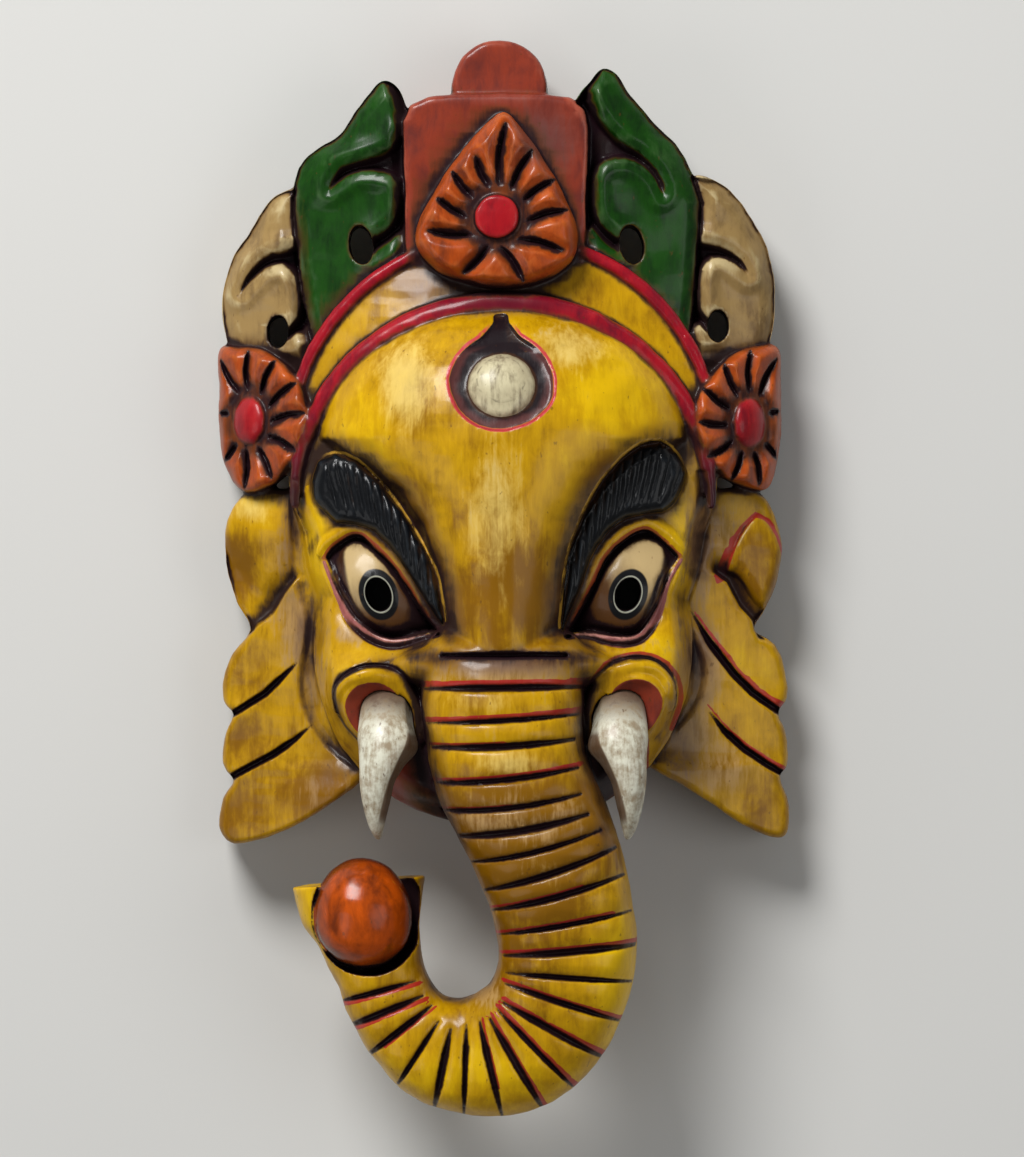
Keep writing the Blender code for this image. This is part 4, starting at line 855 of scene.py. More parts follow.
def carving(x, y, z, nz):
    # height to add to the front at each place, and the distance outside the nearest dark cut
    lift = np.zeros(x.shape)
    outside = np.full(x.shape, 6.0)

    def area(low, high, left, right):
        return np.flatnonzero((y > low) & (y < high) & (x > left) & (x < right) & (nz > 0.05))

    def areaRound(points, margin):
        (left, low), (right, high) = np.min(points, 0) - margin, np.max(points, 0) + margin
        return area(low, high, left, right)

    def areaBeside(way, low, high, near, far):
        return area(low, high, *sorted((way * near, way * far)))

    def engrave(chosen, wanted, share=1.0, clearance=0.0):
        # the cuts' dark paint stays that clearance inside their edges
        deep, clear = engraved(x[chosen], y[chosen], wanted)
        lift[chosen] -= deep * share
        outside[chosen] = np.minimum(outside[chosen], clear + clearance)
        return clear

    # trunk
    rows = trunk["rows"]
    shape = [r[:2] for r in rows] + [r[2:4] for r in reversed(rows)]
    chosen = area(-2, 160, -75, 50)
    chosen = chosen[(within(x[chosen], y[chosen], shape) > -1) & (z[chosen] > 42)]
    engrave(chosen, trunkCuts())
    lift[chosen] -= knife["trunkRings"] * np.exp(-np.maximum(outside[chosen], 0) / 1.5)
    # flowers: each petal slopes down to its neighbour on one side
    for name, high, low in (("petal", 66, 48), ("roseLeft", 52, 12), ("roseRight", 52, 12)):
        outline = spline(crown[name], 3, closed=True)
        chosen = areaRound(outline, 1)
        chosen = chosen[(z[chosen] > low) & (z[chosen] < high)]
        inner = within(x[chosen], y[chosen], outline)
        chosen, inner = chosen[inner > -0.5], inner[inner > -0.5]
        heart, disc, rays = crown["hearts"][name], crown["discs"][name], radialCuts(name)
        clear = engrave(chosen, rays)
        away = np.hypot((x[chosen] - heart[0]) / disc[0], (y[chosen] - heart[1]) / disc[1])
        rise = ramp(0, 3.5, clear) * ramp(0, 4, inner) * ramp(1.0, 1.5, away)
        lift[chosen] += knife["petalRise"] * rise
        for ray in rays:
            gap, share, aside = nearLine(x[chosen], y[chosen], ray[0])
            slope = np.exp(-np.maximum(aside, 0) / 2.2) * (aside > -0.6) * np.exp(-(gap / 5) ** 2)
            slope = slope * ramp(0, 0.2, share) * ramp(0, 3, inner) * ramp(1.0, 1.25, away)
            lift[chosen] -= knife["petalSlope"] * slope
    # ears: each feather swells towards the slit above it
    middleY = face["middle"][1]
    for side, way in bothSides:
        chosen = areaBeside(way, 86, 214, 52, 98)
        px, py = x[chosen], y[chosen]
        head = np.hypot(px, py - middleY) / headReach(np.arctan2(py - middleY, np.abs(px)))
        chosen = chosen[(z[chosen] < 43) & (head > 0.985)]
        px, py = x[chosen], y[chosen]
        gap, share, above = nearLine(px, py, folds["ear" + side])
        above = above * -way
        past = np.exp(-((gap - np.abs(above)) / 2.2) ** 2)
        scoop = np.exp(-(np.maximum(above, 0) / folds["reach"]) ** 2) * ramp(-0.4, 0.6, above) * past
        brink = np.exp(-(above / 2.5) ** 2) * ramp(0.4, -0.6, above) * past
        if side == "Left":
            lobe = np.exp(-((px + 79) / 10) ** 2 - ((py - 196) / 11) ** 2)
            dip = nearLine(px, py, spline(folds["dip"], 3))[0]
            lift[chosen] -= knife["dip"] * np.exp(-(dip / 6.5) ** 2)
        else:
            lobe = within(px, py, spline(folds["lobe"], 3, closed=True))
            lobe = np.sqrt(1 - (1 - np.clip(lobe, 0, 6) / 6) ** 2)
        lift[chosen] += knife["lobe" + side] * lobe - knife["scoop" + side] * scoop + knife["brink"] * brink
        engrave(chosen, slits["ear" + side])
        for slit in slits["ear" + side]:
            gap, share, aside = nearLine(px, py, slit[0])
            lift[chosen] += knife["feather"] * np.exp(-(gap / 5) ** 2) * ramp(1.0, 0.4, share)
    # neck of the round mark's hollow
    markX, markY = features["mark"]
    chosen = area(markY + 6, markY + 24, markX - 14, markX + 14)
    inner = within(x[chosen], y[chosen], markEdge())
    lift[chosen] -= knife["markNeck"] * ramp(-0.3, 1.2, inner) * ramp(markY + 9, markY + 14, y[chosen])
    # leaves
    for name in ("leafLeft", "leafRight", "outerLeft", "outerRight"):
        outer = name.startswith("outer")
        level = outerFront if outer else leafFront
        cover = crown[name.replace("outer", "leaf")] if outer else crown["block"]
        chosen = areaRound(crown[name], 1)
        chosen = chosen[(z[chosen] < level(x[chosen], y[chosen]) + 0.9) & (z[chosen] > 14)]
        px, py = x[chosen], y[chosen]
        inner = np.minimum(within(px, py, crown[name]), -within(px, py, cover))
        chosen, inner = chosen[inner > -0.5], inner[inner > -0.5]
        px, py = x[chosen], y[chosen]
        sunk = within(px, py, spline(gaps[name], 2, closed=True))
        deep = knife["leafGap"] * ramp(-0.2, 2.4, sunk)
        if name in tips:
            path, way = tips[name]
            gap, share, off = nearLine(px, py, path)
            fall = np.minimum(6.5, np.maximum(0, off * way) * 0.9)
            deep = np.maximum(deep, fall * ramp(1.0, 0.75, share))
        swell = knife["leafSwell"] * np.exp(-((sunk + 3.2) / 2.6) ** 2) * (sunk < 0)
        lift[chosen] += swell - deep - knife["leafEdge"] * ramp(5.5, 0, inner)
        outside[chosen] = np.minimum(outside[chosen], np.maximum(0.9 - sunk, -2) + 0.3)
    for side, way in bothSides:
        # crease round the face
        chosen = areaBeside(way, 112, 216, 44, 76)
        crease = (spline(faceEdge[side], 3), *knife["faceCrease"])
        engrave(chosen, [crease], clearance=knife["unpainted"])
        # brows
        chosen = areaBeside(way, 160, 228, 17, 68)
        inner = within(x[chosen], y[chosen], browRing(side))
        chosen, inner = chosen[inner > -0.6], inner[inner > -0.6]
        swell = np.sqrt(1 - (1 - np.clip(inner, 0, 5) / 5) ** 2)
        target = baseLevel(x[chosen], y[chosen]) + knife["browFoot"] + knife["browRise"] * swell
        lift[chosen] += (target - z[chosen]) * ramp(-0.5, 0.5, inner)
        engrave(chosen, hairCuts(side), ramp(0.8, 1.6, inner), knife["unpainted"])
        # eyes: the ball, sunk under the lids' edges
        lower = spline(features["lowerLids"][side], 4)
        opening = spline(features["upperLids"][side], 4) + lower[::-1]
        chosen = areaRound(opening, 0)
        px, py = x[chosen], y[chosen]
        seen = np.minimum(within(px, py, opening), nearLine(px, py, lower)[0] - 1.3)
        ball = within(px, py, spline(features["eyeballs"][side], 3, closed=True))
        middleX, middleY = features["eyeMiddle"]
        away = (np.abs(px) - middleX) ** 2 + (py - middleY) ** 2
        target = features["eyeTop"] - features["eyeRound"] * away - 2.8 * ramp(0.3, -2.0, ball)
        target -= 1.6 * np.exp(-np.maximum(seen, 0))
        lift[chosen] += (target - z[chosen]) * ramp(-0.1, 0.7, seen)
        # lower lids
        chosen = areaRound(opening, 5)
        px, py = x[chosen], y[chosen]
        gap, share, aside = nearLine(px, py, lower)
        half = lidHalf(share, 0.35)
        target = lidLevel(px, py) + knife["lidRise"] * (1 - (gap / half) ** 2)
        lift[chosen] += (target - z[chosen]) * ramp(half + 0.2, half - 0.6, gap)
        engrave(chosen, [(shifted(lower, -3.1 * way), *knife["lidCrease"])])
        # cheeks: a dark line round each arch
        crease = (spline(features["archLines"][side], 3), *knife["archCrease"])
        engrave(areaBeside(way, 112, 158, 22, 62), [crease], clearance=0.0 if side == "Left" else 0.5)
    return lift * ramp(0.1, 0.5, nz), outside


def smoothed(values, edges, rounds, share):
    # each vertex's row of values drawn towards its neighbours' mean
    count = len(values)
    ends = np.concatenate([edges[:, 0], edges[:, 1]])
    others = np.concatenate([edges[:, 1], edges[:, 0]])
    many = np.maximum(np.bincount(ends, minlength=count), 1)[:, None]
    for i in range(rounds):
        sums = [np.bincount(ends, weights=column[others], minlength=count) for column in values.T]
        values = values + (np.stack(sums, 1) / many - values) * share
    return values


def readRows(layer, key):
    # one row for each vertex, or the two ends of each edge
    ends = key == "vertices"
    flat = np.empty(len(layer) * (2 if ends else 3), np.int32 if ends else np.float32)
    layer.foreach_get(key, flat)
    return flat.reshape(-1, 2) if ends else flat.reshape(-1, 3).astype(float)


def writePoints(mesh, co):
    mesh.vertices.foreach_set("co", co.astype(np.float32).ravel())
    mesh.update()


def carveMask():
    mesh = maskPiece.data
    edges = readRows(mesh.edges, "vertices")
    co = smoothed(readRows(mesh.vertices, "co"), edges, 3, 0.5)
    # the ledge under each eye is worn smoother than the rest
    side = np.abs(co[:, 0])
    ledge = ramp(14, 20, side) * ramp(44, 36, side) * ramp(141, 147, co[:, 1]) * ramp(167, 160, co[:, 1])
    ledge = ledge * (co[:, 2] > 40)
    co = smoothed(co, edges, 40, 0.5 * ledge[:, None])
    writePoints(mesh, co)
    co = readRows(mesh.vertices, "co")
    facing = readRows(mesh.vertex_normals, "vector")
    x, y, z = co.T
    home = mesh.attributes.new("home", "FLOAT_VECTOR", "POINT")
    home.data.foreach_set("vector", co.astype(np.float32).ravel())
    lift, outside = carving(x, y, z, facing[:, 2])
    co[:, 2] += lift
    print("carved")
    rough = 0.22 * waves(x, y, z, 16, 3) + 0.1 * waves(x, y, z, 6, 4)
    co += facing * (rough * ramp(6, 14, z) * ramp(-0.3, 0.1, facing[:, 2]))[:, None]
    writePoints(mesh, smoothed(co, edges, 1, 0.35))


carveMask()
mesh = maskPiece.data
fewer = maskPiece.modifiers.new("fewer", "DECIMATE")
fewer.ratio = min(1.0, remesh["most"] / (2 * len(mesh.polygons)))
fewer.use_collapse_triangulate = True
evaluated(maskPiece)
print("lightened", len(maskPiece.data.polygons))


# what each place of the finished mesh is painted with
# Each paint's field is the distance in millimetres that a place lies inside the paint, negative outside.
def addField(mesh, name, values):
    field = mesh.attributes.new(name, "FLOAT", "POINT")
    field.data.foreach_set("value", np.asarray(values, np.float32))


def paintFields(mesh, home):
    groups = {"ground": [headShape]}
    for group in (blanks, lateBlanks, cutters):
        for piece in group.objects:
            groups.setdefault(piece["paint"], []).append(piece.data)
    far = 8.0
    places = [Vector(p) for p in home]
    gaps = {}
    for paint, shapes in groups.items():
        work = bmesh.new()
        for shape in shapes:
            work.from_mesh(shape)
        tree = BVHTree.FromBMesh(work)
        work.free()
        found = [tree.find_nearest(place, far)[3] for place in places]
        gaps[paint] = np.array([far if gap is None else gap for gap in found])
    for paint in groups:
        others = np.min([gaps[other] for other in groups if other != paint], 0)
        field = others - gaps[paint]
        if paint == "back":
            field = np.maximum(field, 1.2 - home[:, 2])
        if paint != "ground":
            addField(mesh, paint, field)


redLines = {
    # along some of the trunk's grooves: which groove, how much of it, half width
    "grooves": [(1, 1.0, 1.15), (2, 1.0, 1.0), (3, 0.5, 0.5), (4, 1.0, 0.7), (5, 0.5, 0.4), (9, 0.6, 0.5),
                (10, 0.8, 0.6), (11, 0.9, 0.7), (13, 0.9, 0.7), (14, 1.0, 0.85), (15, 1.0, 0.9),
                (16, 1.0, 0.7), (17, 0.6, 0.5), (21, 0.7, 0.5), (22, 1.0, 0.8), (23, 1.0, 0.8)],
    # on the ears and round one arch: path, half width at its start and at its end
    "ears": [([(73.1, 181.5), (76.6, 190.6), (79.6, 196), (84.7, 201.3)], 2.0, 1.0),
             ([(84.7, 201.3), (89, 199.6), (92, 194.6), (93.5, 189)], 1.0, 0.35),
             ([(64.8, 168), (72.5, 157.6), (80.4, 148), (87.6, 141.2), (95.5, 136.4)], 0.35, 1.15),
             ([(69.5, 136.6), (76, 129.2), (83.5, 122.8), (95.5, 115.4)], 0.3, 0.75),
             ([(27.3, 142.5), (33.9, 151.6), (42.7, 154.6), (51.3, 153.6), (57.9, 147.8), (59.2, 139),
               (57, 131)], 0.6, 0.9)],
}


def redPaths():
    # path, half width at its start and its end, and the lowest place it is painted on
    made = []
    grooves = trunkCuts()
    for i, share, half in redLines["grooves"]:
        path = np.array(grooves[i][0])
        heading = path[-1] - path[0]
        aside = np.array([-heading[1], heading[0]]) / np.hypot(*heading)
        path = path + aside * (grooves[i][1] * 0.7 + half * 0.6)
        made.append((path[:max(2, math.ceil(share * len(path)))], half * 0.9, half * 1.25, 45))
    for path, first, last in redLines["ears"]:
        made.append((spline(path, 3), first, last, 0))
    return made


def lineFields(mesh, home):
    x, y, z = home.T
    aside = np.full(x.shape, 4.0)
    nearest = np.full(x.shape, 4.0)
    wide = np.zeros(x.shape)
    for path, first, last, low in redPaths():
        gap, share, side = nearLine(x, y, path)
        nearer = (gap < nearest) & (z > low)
        nearest = np.where(nearer, gap, nearest)
        aside = np.where(nearer, side, aside)
        half = first + (last - first) * share
        wide = np.where(nearer, half * ramp(half + 1.3, half + 0.8, gap), wide)
    addField(mesh, "redSide", aside)
    addField(mesh, "redWide", wide)


# worn, stained, lighter and darker areas: middle, reach across and up, strength;
# pale and bright hold painted highlight as well as lighter paint, deep holds painted shade in hollows as well
# as darker paint
areas = {
    "tan": [(-2, 214, 17, 24, 0.4), (20, 262, 22, 14, 0.35), (-70, 165, 9, 18, 0.9),
            (-64, 146, 8, 18, 0.7), (66, 150, 10, 20, 1.0), (62, 128, 12, 14, 0.9), (72, 116, 16, 12, 0.75),
            (-20, 48, 12, 10, 0.8), (-8, 44, 12, 9, 0.8), (-6, 60, 6, 20, 0.7), (-60, 108, 14, 8, 0.5),
            (-51, 161, 7, 5, 0.8), (-72, 190, 6, 14, 0.7), (66, 186, 7, 20, 0.9), (0, 150, 30, 8, 0.95),
            (-38, 160, 20, 5, 0.35), (40, 158, 20, 5, 0.45), (4, 100, 30, 12, 0.65), (12, 84, 26, 9, 0.35),
            (0, 128, 26, 5, 0.35), (72, 195, 7, 12, 0.75), (-38, 120, 8, 14, 0.5), (36, 120, 8, 14, 0.5),
            (28, 40, 12, 12, 0.2)],
    "purple": [(-71, 196, 5, 16, 0.6), (66, 196, 6, 18, 0.95), (60, 116, 9, 14, 0.6), (-58, 116, 8, 12, 0.5),
               (-66, 160, 6, 16, 0.6), (66, 158, 6, 18, 0.7), (0, 271, 24, 4, 0.9), (-28, 106, 7, 12, 0.9),
               (-28, 275, 12, 5, 0.5), (-50, 172, 3, 3, 0.2), (-12, 150, 24, 4, 0.5),
               (-24, 168, 5, 20, 0.5), (24, 168, 5, 20, 0.5), (-27, 190, 8, 12, 0.35), (27, 190, 8, 12, 0.35),
               (-2, 298, 12, 13, 0.75), (-85, 233, 8, 11, 0.7), (83, 232, 8, 11, 0.7),
               (0, 152, 34, 5, 0.8), (-60, 165, 8, 14, 0.35), (60, 165, 8, 14, 0.35), (28, 125, 6, 26, 0.55),
               (-27, 125, 5, 24, 0.4), (14, 326, 12, 14, 0.7), (-2, 340, 26, 4, 0.35)],
    "paleAndHighlight": [(-32, 244, 12, 18, 1.0), (22, 256, 16, 10, 0.8), (-2, 202, 13, 32, 0.75), (-84, 203, 9, 6, 0.8),
             (-8, 139, 18, 6, 0.6), (2, 119, 14, 6, 0.75), (-16, 22, 16, 10, 0.35)],
    "deep": [(0, 172, 30, 16, 1.0), (-88, 103, 14, 12, 0.8), (-86, 124, 12, 10, 0.6), (-91, 184, 9, 12, 1.3),
             (85, 184, 8, 14, 1.1), (6, 97, 34, 24, 1.3), (10, 76, 26, 16, 1.1), (88, 104, 12, 14, 0.35),
             (-30, 280, 16, 8, 1.0), (-86, 147, 10, 10, 0.4),
             (-35, 225, 14, 10, 0.5), (-36, 206, 10, 14, 0.9), (35, 212, 9, 16, 0.9), (-62, 108, 16, 9, 1.2),
             (2, 60, 12, 22, 0.9), (-24, 52, 10, 14, 0.4)],
    "brightAndHighlight": [(36, 238, 16, 22, 1.0), (-44, 226, 12, 20, 0.8), (-62, 190, 6, 18, 0.9), (60, 192, 6, 18, 0.9),
               (-52, 152, 10, 6, 0.5), (52, 158, 9, 9, 0.8), (0, 122, 20, 10, 0.6), (38, 50, 10, 26, 1.3),
               (-6, 16, 34, 10, 0.8), (-84, 204, 10, 9, 0.6), (-64, 70, 9, 22, 0.7),
               (84, 150, 10, 10, 0.5), (-38, 14, 14, 12, 0.5), (0, 255, 12, 9, 0.5)],
}


def areaFields(mesh, home):
    x, y = home[:, 0], home[:, 1]
    for name, spots in areas.items():
        total = np.zeros(x.shape)
        for middleX, middleY, across, up, strength in spots:
            away = ((x - middleX) / across) ** 2 + ((y - middleY) / up) ** 2
            total = np.maximum(total, strength * np.exp(-away))
        addField(mesh, name, total)


def glazeAndShadeLines():
    # dark glaze and painted shade along drawn lines beside brows, lids, creases, folds and petals: path,
    # reach, strength
    made = [
        ([(75.2, 179.5), (68, 181), (62.5, 182)], 2.8, 0.5),
        ([(-30, 153.5), (-14, 153.5), (14, 153.5), (30, 153.5)], 3.6, 0.72),
        ([(-24, 124), (-22, 112), (-18, 98)], 7.0, 0.6),
        ([(30, 122), (38, 108), (44, 96)], 6.0, 0.6),
        ([(-25, 92), (-18, 84), (-10, 72), (-5, 58), (-6, 47), (-14, 41), (-22, 46)], 4.0, 0.45)]
    for side, way in bothSides:
        rows = features["brows"][side][1:]
        upper, lower = spline(features["upperLids"][side], 3), spline(features["lowerLids"][side], 3)
        edge = spline(faceEdge[side], 3)
        made += [
            (spline([r[:2] for r in rows], 3), 7.0, 0.7), (spline([r[2:4] for r in rows], 3), 2.6, 0.55),
            (shifted(upper, -6.0 * way), 1.8, 0.4), (shifted(lower, -3.4 * way), 2.6, 0.62),
            (spline(features["archLines"][side], 3), 2.6, 0.42), (edge, 1.8, 0.34), (edge, 6.0, 0.26),
            (folds["ear" + side], 5.0, 0.32),
            ([(way * 27, 166), (way * 29, 158), (way * 30, 150), (way * 27, 140)], 4.5, 0.5),
            ([(way * 17, 172), (way * 19, 162), (way * 16, 155)], 3.5, 0.5),
            ([(way * 27, 150), (way * 27, 124), (way * 30 + 3, 108), (way * 24 + 10, 92)], 4.5, 0.6)]
    for name, heart in crown["hearts"].items():
        across, up = crown["discs"][name]
        made += [(ray[0], 1.7, 0.55) for ray in radialCuts(name)]
        made.append((arc(heart, across + 1, up + 1, 0, 360, 24), 4.0, 0.6))
        made.append((spline(crown[name] + crown[name][:1], 2), 3.2, 0.28))
    return made


def sheltered(mesh, co, facing, rays, near, far):
    # share of rays that strike the mask itself, weighted once to the near and once to the far ones; the
    # shader paints it as shade and patina in the hollows
    tree = BVHTree.FromPolygons([Vector(p) for p in co], [tuple(f.vertices) for f in mesh.polygons])
    chance = np.random.default_rng(11)
    ways = chance.normal(size=(rays * 4, 3))
    ways = ways / np.linalg.norm(ways, axis=1)[:, None]
    struck = np.zeros((len(co), 2))
    for i in range(len(co)):
        start = Vector(co[i] + facing[i] * 0.25)
        first = (i * 7) % (rays * 3)
        closeBy = 0.0
        wide = 0.0
        for way in ways[first:first + rays]:
            heading = Vector(way + facing[i] * 1.05)
            heading.normalize()
            gap = tree.ray_cast(start, heading, far)[3]
            if gap is not None:
                wide += 1 - (gap / far) ** 2
                closeBy += max(0.0, 1 - gap / near)
        struck[i] = closeBy / rays, wide / rays
    return struck


def dressMask():
    mesh = maskPiece.data
    home = readRows(mesh.attributes["home"].data, "vector")
    x, y, z = home.T
    co = readRows(mesh.vertices, "co")
    facing = readRows(mesh.vertex_normals, "vector")
    edges = readRows(mesh.edges, "vertices")
    paintFields(mesh, home)
    print("paints")
    lineFields(mesh, home)
    areaFields(mesh, home)
    shade = smoothed(sheltered(mesh, co, facing, 14, 8.0, 34.0), edges, 3, 0.5)
    # painted shade and glaze, strongest on the drawn lines
    glazeAndShade = np.zeros(x.shape)
    for path, reach, strength in glazeAndShadeLines():
        low, high = np.min(path, 0) - 14, np.max(path, 0) + 14
        near = np.flatnonzero((x > low[0]) & (x < high[0]) & (y > low[1]) & (y < high[1]))
        gap = nearLine(x[near], y[near], path)[0]
        glazeAndShade[near] = np.maximum(glazeAndShade[near], strength * np.exp(-(gap / reach) ** 2))
    opened, ball, upperEye, lid, over = [np.full(x.shape, -4.0) for i in range(5)]
    brows = np.full(x.shape, -6.0)
    for side, way in bothSides:
        beside = x * way > 0
        upper, lower = spline(features["upperLids"][side], 4), spline(features["lowerLids"][side], 4)
        lidGap, share, aside = nearLine(x, y, lower)
        lidUp = nearLine(x, y, upper)[0]
        here = beside & (z > 30)
        opened = np.where(here, np.minimum(within(x, y, upper + lower[::-1]), lidGap - 1.5), opened)
        ball = np.where(here, within(x, y, spline(features["eyeballs"][side], 3, closed=True)), ball)
        upperEye = np.where(here, ramp(-0.5, 1.0, lidGap - lidUp), upperEye)
        here = beside & (z > 40)
        lid = np.where(here, lidHalf(share, 0.25) - lidGap, lid)
        brows = np.where(here, within(x, y, spline(browRing(side), 2, closed=True)), brows)
        rows = features["brows"][side][1:]
        upperGap = nearLine(x, y, spline([r[:2] for r in rows], 3))[0]
        lowerGap = nearLine(x, y, spline([r[2:4] for r in rows], 3))[0]
        over = np.where(beside, lowerGap - upperGap, over)
    chin = np.minimum(np.minimum(62 - z, 127 - y), np.minimum(y - 88, 46 - np.abs(x - 3)))
    fields = {
        "cut": carving(x, y, z, np.ones(x.shape))[1], "shade": shade[:, 0], "dusk": shade[:, 1],
        "steep": 1 - facing[:, 2], "edge": ((co - smoothed(co, edges, 10, 0.5)) * facing).sum(1),
        "glazeAndShade": glazeAndShade, "lidBand": np.clip(lid, -4, 4), "browBand": np.clip(brows, -6, 6),
        "chin": np.clip(chin, -4, 4), "eyeOpen": np.clip(opened, -4, 4), "eyeBall": np.clip(ball, -4, 4),
        "hollow": np.where(z > 40, np.clip(within(x, y, markEdge()), -6, 6), -6),
        "upperEye": np.clip(upperEye, 0, 1), "browTop": np.clip(over, -4, 4),
    }
    for name, values in fields.items():
        addField(mesh, name, values)
    print("fields")


dressMask()


# shaders
class Value:
    # a number or vector on its way through a material; sums with it add Math nodes
    def __init__(self, finish, socket):
        self.finish = finish
        self.socket = socket

    def __add__(self, other):
        return self.finish.maths("ADD", self, other)

    __radd__ = __add__

    def __sub__(self, other):
        return self.finish.maths("SUBTRACT", self, other)

    def __rsub__(self, other):
        return self.finish.maths("SUBTRACT", other, self)

    def __mul__(self, other):
        return self.finish.maths("MULTIPLY", self, other)

    def __abs__(self):
        return self.finish.maths("ABSOLUTE", self)


class Finish:
    # one material, its nodes and what they are joined with
    def __init__(self, name):
        self.material = bpy.data.materials.new(name)
        self.material.use_nodes = True
        self.tree = self.material.node_tree
        self.tree.nodes.clear()
        spot = self.node("ShaderNodeTexCoord", {}, {}, "Object")
        self.place = self.node("ShaderNodeVectorMath", {"operation": "SCALE"}, {0: spot, "Scale": 1000.0})

    def node(self, kind, settings, inputs, output=0):
        made = self.tree.nodes.new(kind)
        for key, value in settings.items():
            setattr(made, key, value)
        for key, value in inputs.items():
            if isinstance(value, Value):
                self.tree.links.new(value.socket, made.inputs[key])
            else:
                made.inputs[key].default_value = value
        return Value(self, made.outputs[output])

    def maths(self, operation, *terms):
        return self.node("ShaderNodeMath", {"operation": operation}, dict(enumerate(terms)))

    def most(self, first, second):
        return self.maths("MAXIMUM", first, second)

    def field(self, name):
        return self.node("ShaderNodeAttribute", {"attribute_name": name}, {}, "Fac")

    def step(self, value, low, high):
        # 0 below low, 1 above high, smooth between; low may be the greater
        return self.node("ShaderNodeMapRange", {"interpolation_type": "SMOOTHSTEP"},
                         {0: value, "From Min": low, "From Max": high})

    def noise(self, size, detail=3.0, rough=0.55, stretch=(1, 1, 1), twist=0.0, shift=0.0):
        # unevenness with patches about as large as size, in millimetres, from 0 to 1
        scaled = tuple(1 / (size * s) for s in stretch)
        spot = self.node("ShaderNodeVectorMath", {"operation": "MULTIPLY_ADD"},
                         {0: self.place, 1: scaled, 2: (shift, shift * 0.7, shift * 1.3)})
        return self.node("ShaderNodeTexNoise", {}, {"Vector": spot, "Scale": 1.0, "Detail": detail,
                                                    "Roughness": rough, "Distortion": twist})

    def mix(self, first, second, share):
        return self.node("ShaderNodeMix", {"data_type": "RGBA"}, {0: share, 6: first, 7: second}, 2)

    def surface(self, settings):
        shader = self.node("ShaderNodeBsdfPrincipled", {}, settings)
        end = self.tree.nodes.new("ShaderNodeOutputMaterial")
        self.tree.links.new(shader.socket, end.inputs["Surface"])


def tint(red, green, blue):
    # a screen colour, 0 to 255, as the shader's own light values
    made = []
    for level in (red, green, blue):
        share = level / 255
        made.append(share / 12.92 if share < 0.04045 else ((share + 0.055) / 1.055) ** 2.4)
    return (*made, 1.0)


screenColours = {
    "gold": (188, 142, 1), "deepGold": (126, 84, 2), "brightGold": (226, 182, 2), "tan": (170, 134, 82),
    "deepTan": (116, 86, 52), "paleGold": (228, 204, 124), "brown": (82, 50, 20), "purple": (30, 18, 24),
    "plum": (92, 68, 66), "ink": (30, 14, 20), "eye": (186, 160, 112), "eyeShade": (84, 54, 28),
    "eyeGapShade": (38, 22, 26), "iris": (14, 14, 16), "irisRing": (150, 150, 134), "lidLine": (150, 54, 36),
    "mark": (204, 194, 158), "markShade": (112, 98, 76), "markHollow": (26, 16, 20), "markEdge": (84, 46, 44),
    "rim": (184, 58, 62), "browLine": (202, 154, 54), "sweet": (190, 78, 8), "deepSweet": (104, 40, 8),
    "sweetRimShade": (46, 18, 12), "hole": (28, 20, 20), "back": (110, 76, 46), "deepBack": (66, 42, 26),
    "tusk": (212, 210, 190), "tuskShade": (150, 134, 108), "tuskStain": (84, 54, 26),
    "tuskRootDirtAndShade": (76, 52, 40),
}
colours = {name: tint(*levels) for name, levels in screenColours.items()}
# each coat of paint, its deeper tone and its worn one; the brow's third tone is a painted bluish sheen on its
# ridges
coats = {
    "brick": ((138, 52, 32), (98, 42, 36), (178, 96, 74)),
    "orange": ((172, 70, 14), (104, 44, 20), (214, 128, 66)),
    "discs": ((160, 16, 26), (112, 14, 26), (206, 74, 66)),
    "green": ((20, 66, 6), (8, 34, 6), (96, 122, 82)),
    "cream": ((152, 124, 76), (104, 80, 50), (206, 188, 142)),
    "red": ((158, 14, 30), (92, 14, 32), (204, 60, 62)),
    "brow": ((12, 14, 17), (6, 7, 10), (56, 68, 78)),
    "lid": ((170, 100, 94), (104, 52, 54), (206, 150, 140)),
    # the cup round the sweet is painted dark brown: painted shade in the gap
    "cup": ((58, 32, 24), (28, 20, 20), (138, 52, 32)),
}
varnish = {"rough": 0.4, "coat": 0.26, "coatRough": 0.2, "specular": 0.12, "bump": 0.35, "bumpDepth": 0.0006}


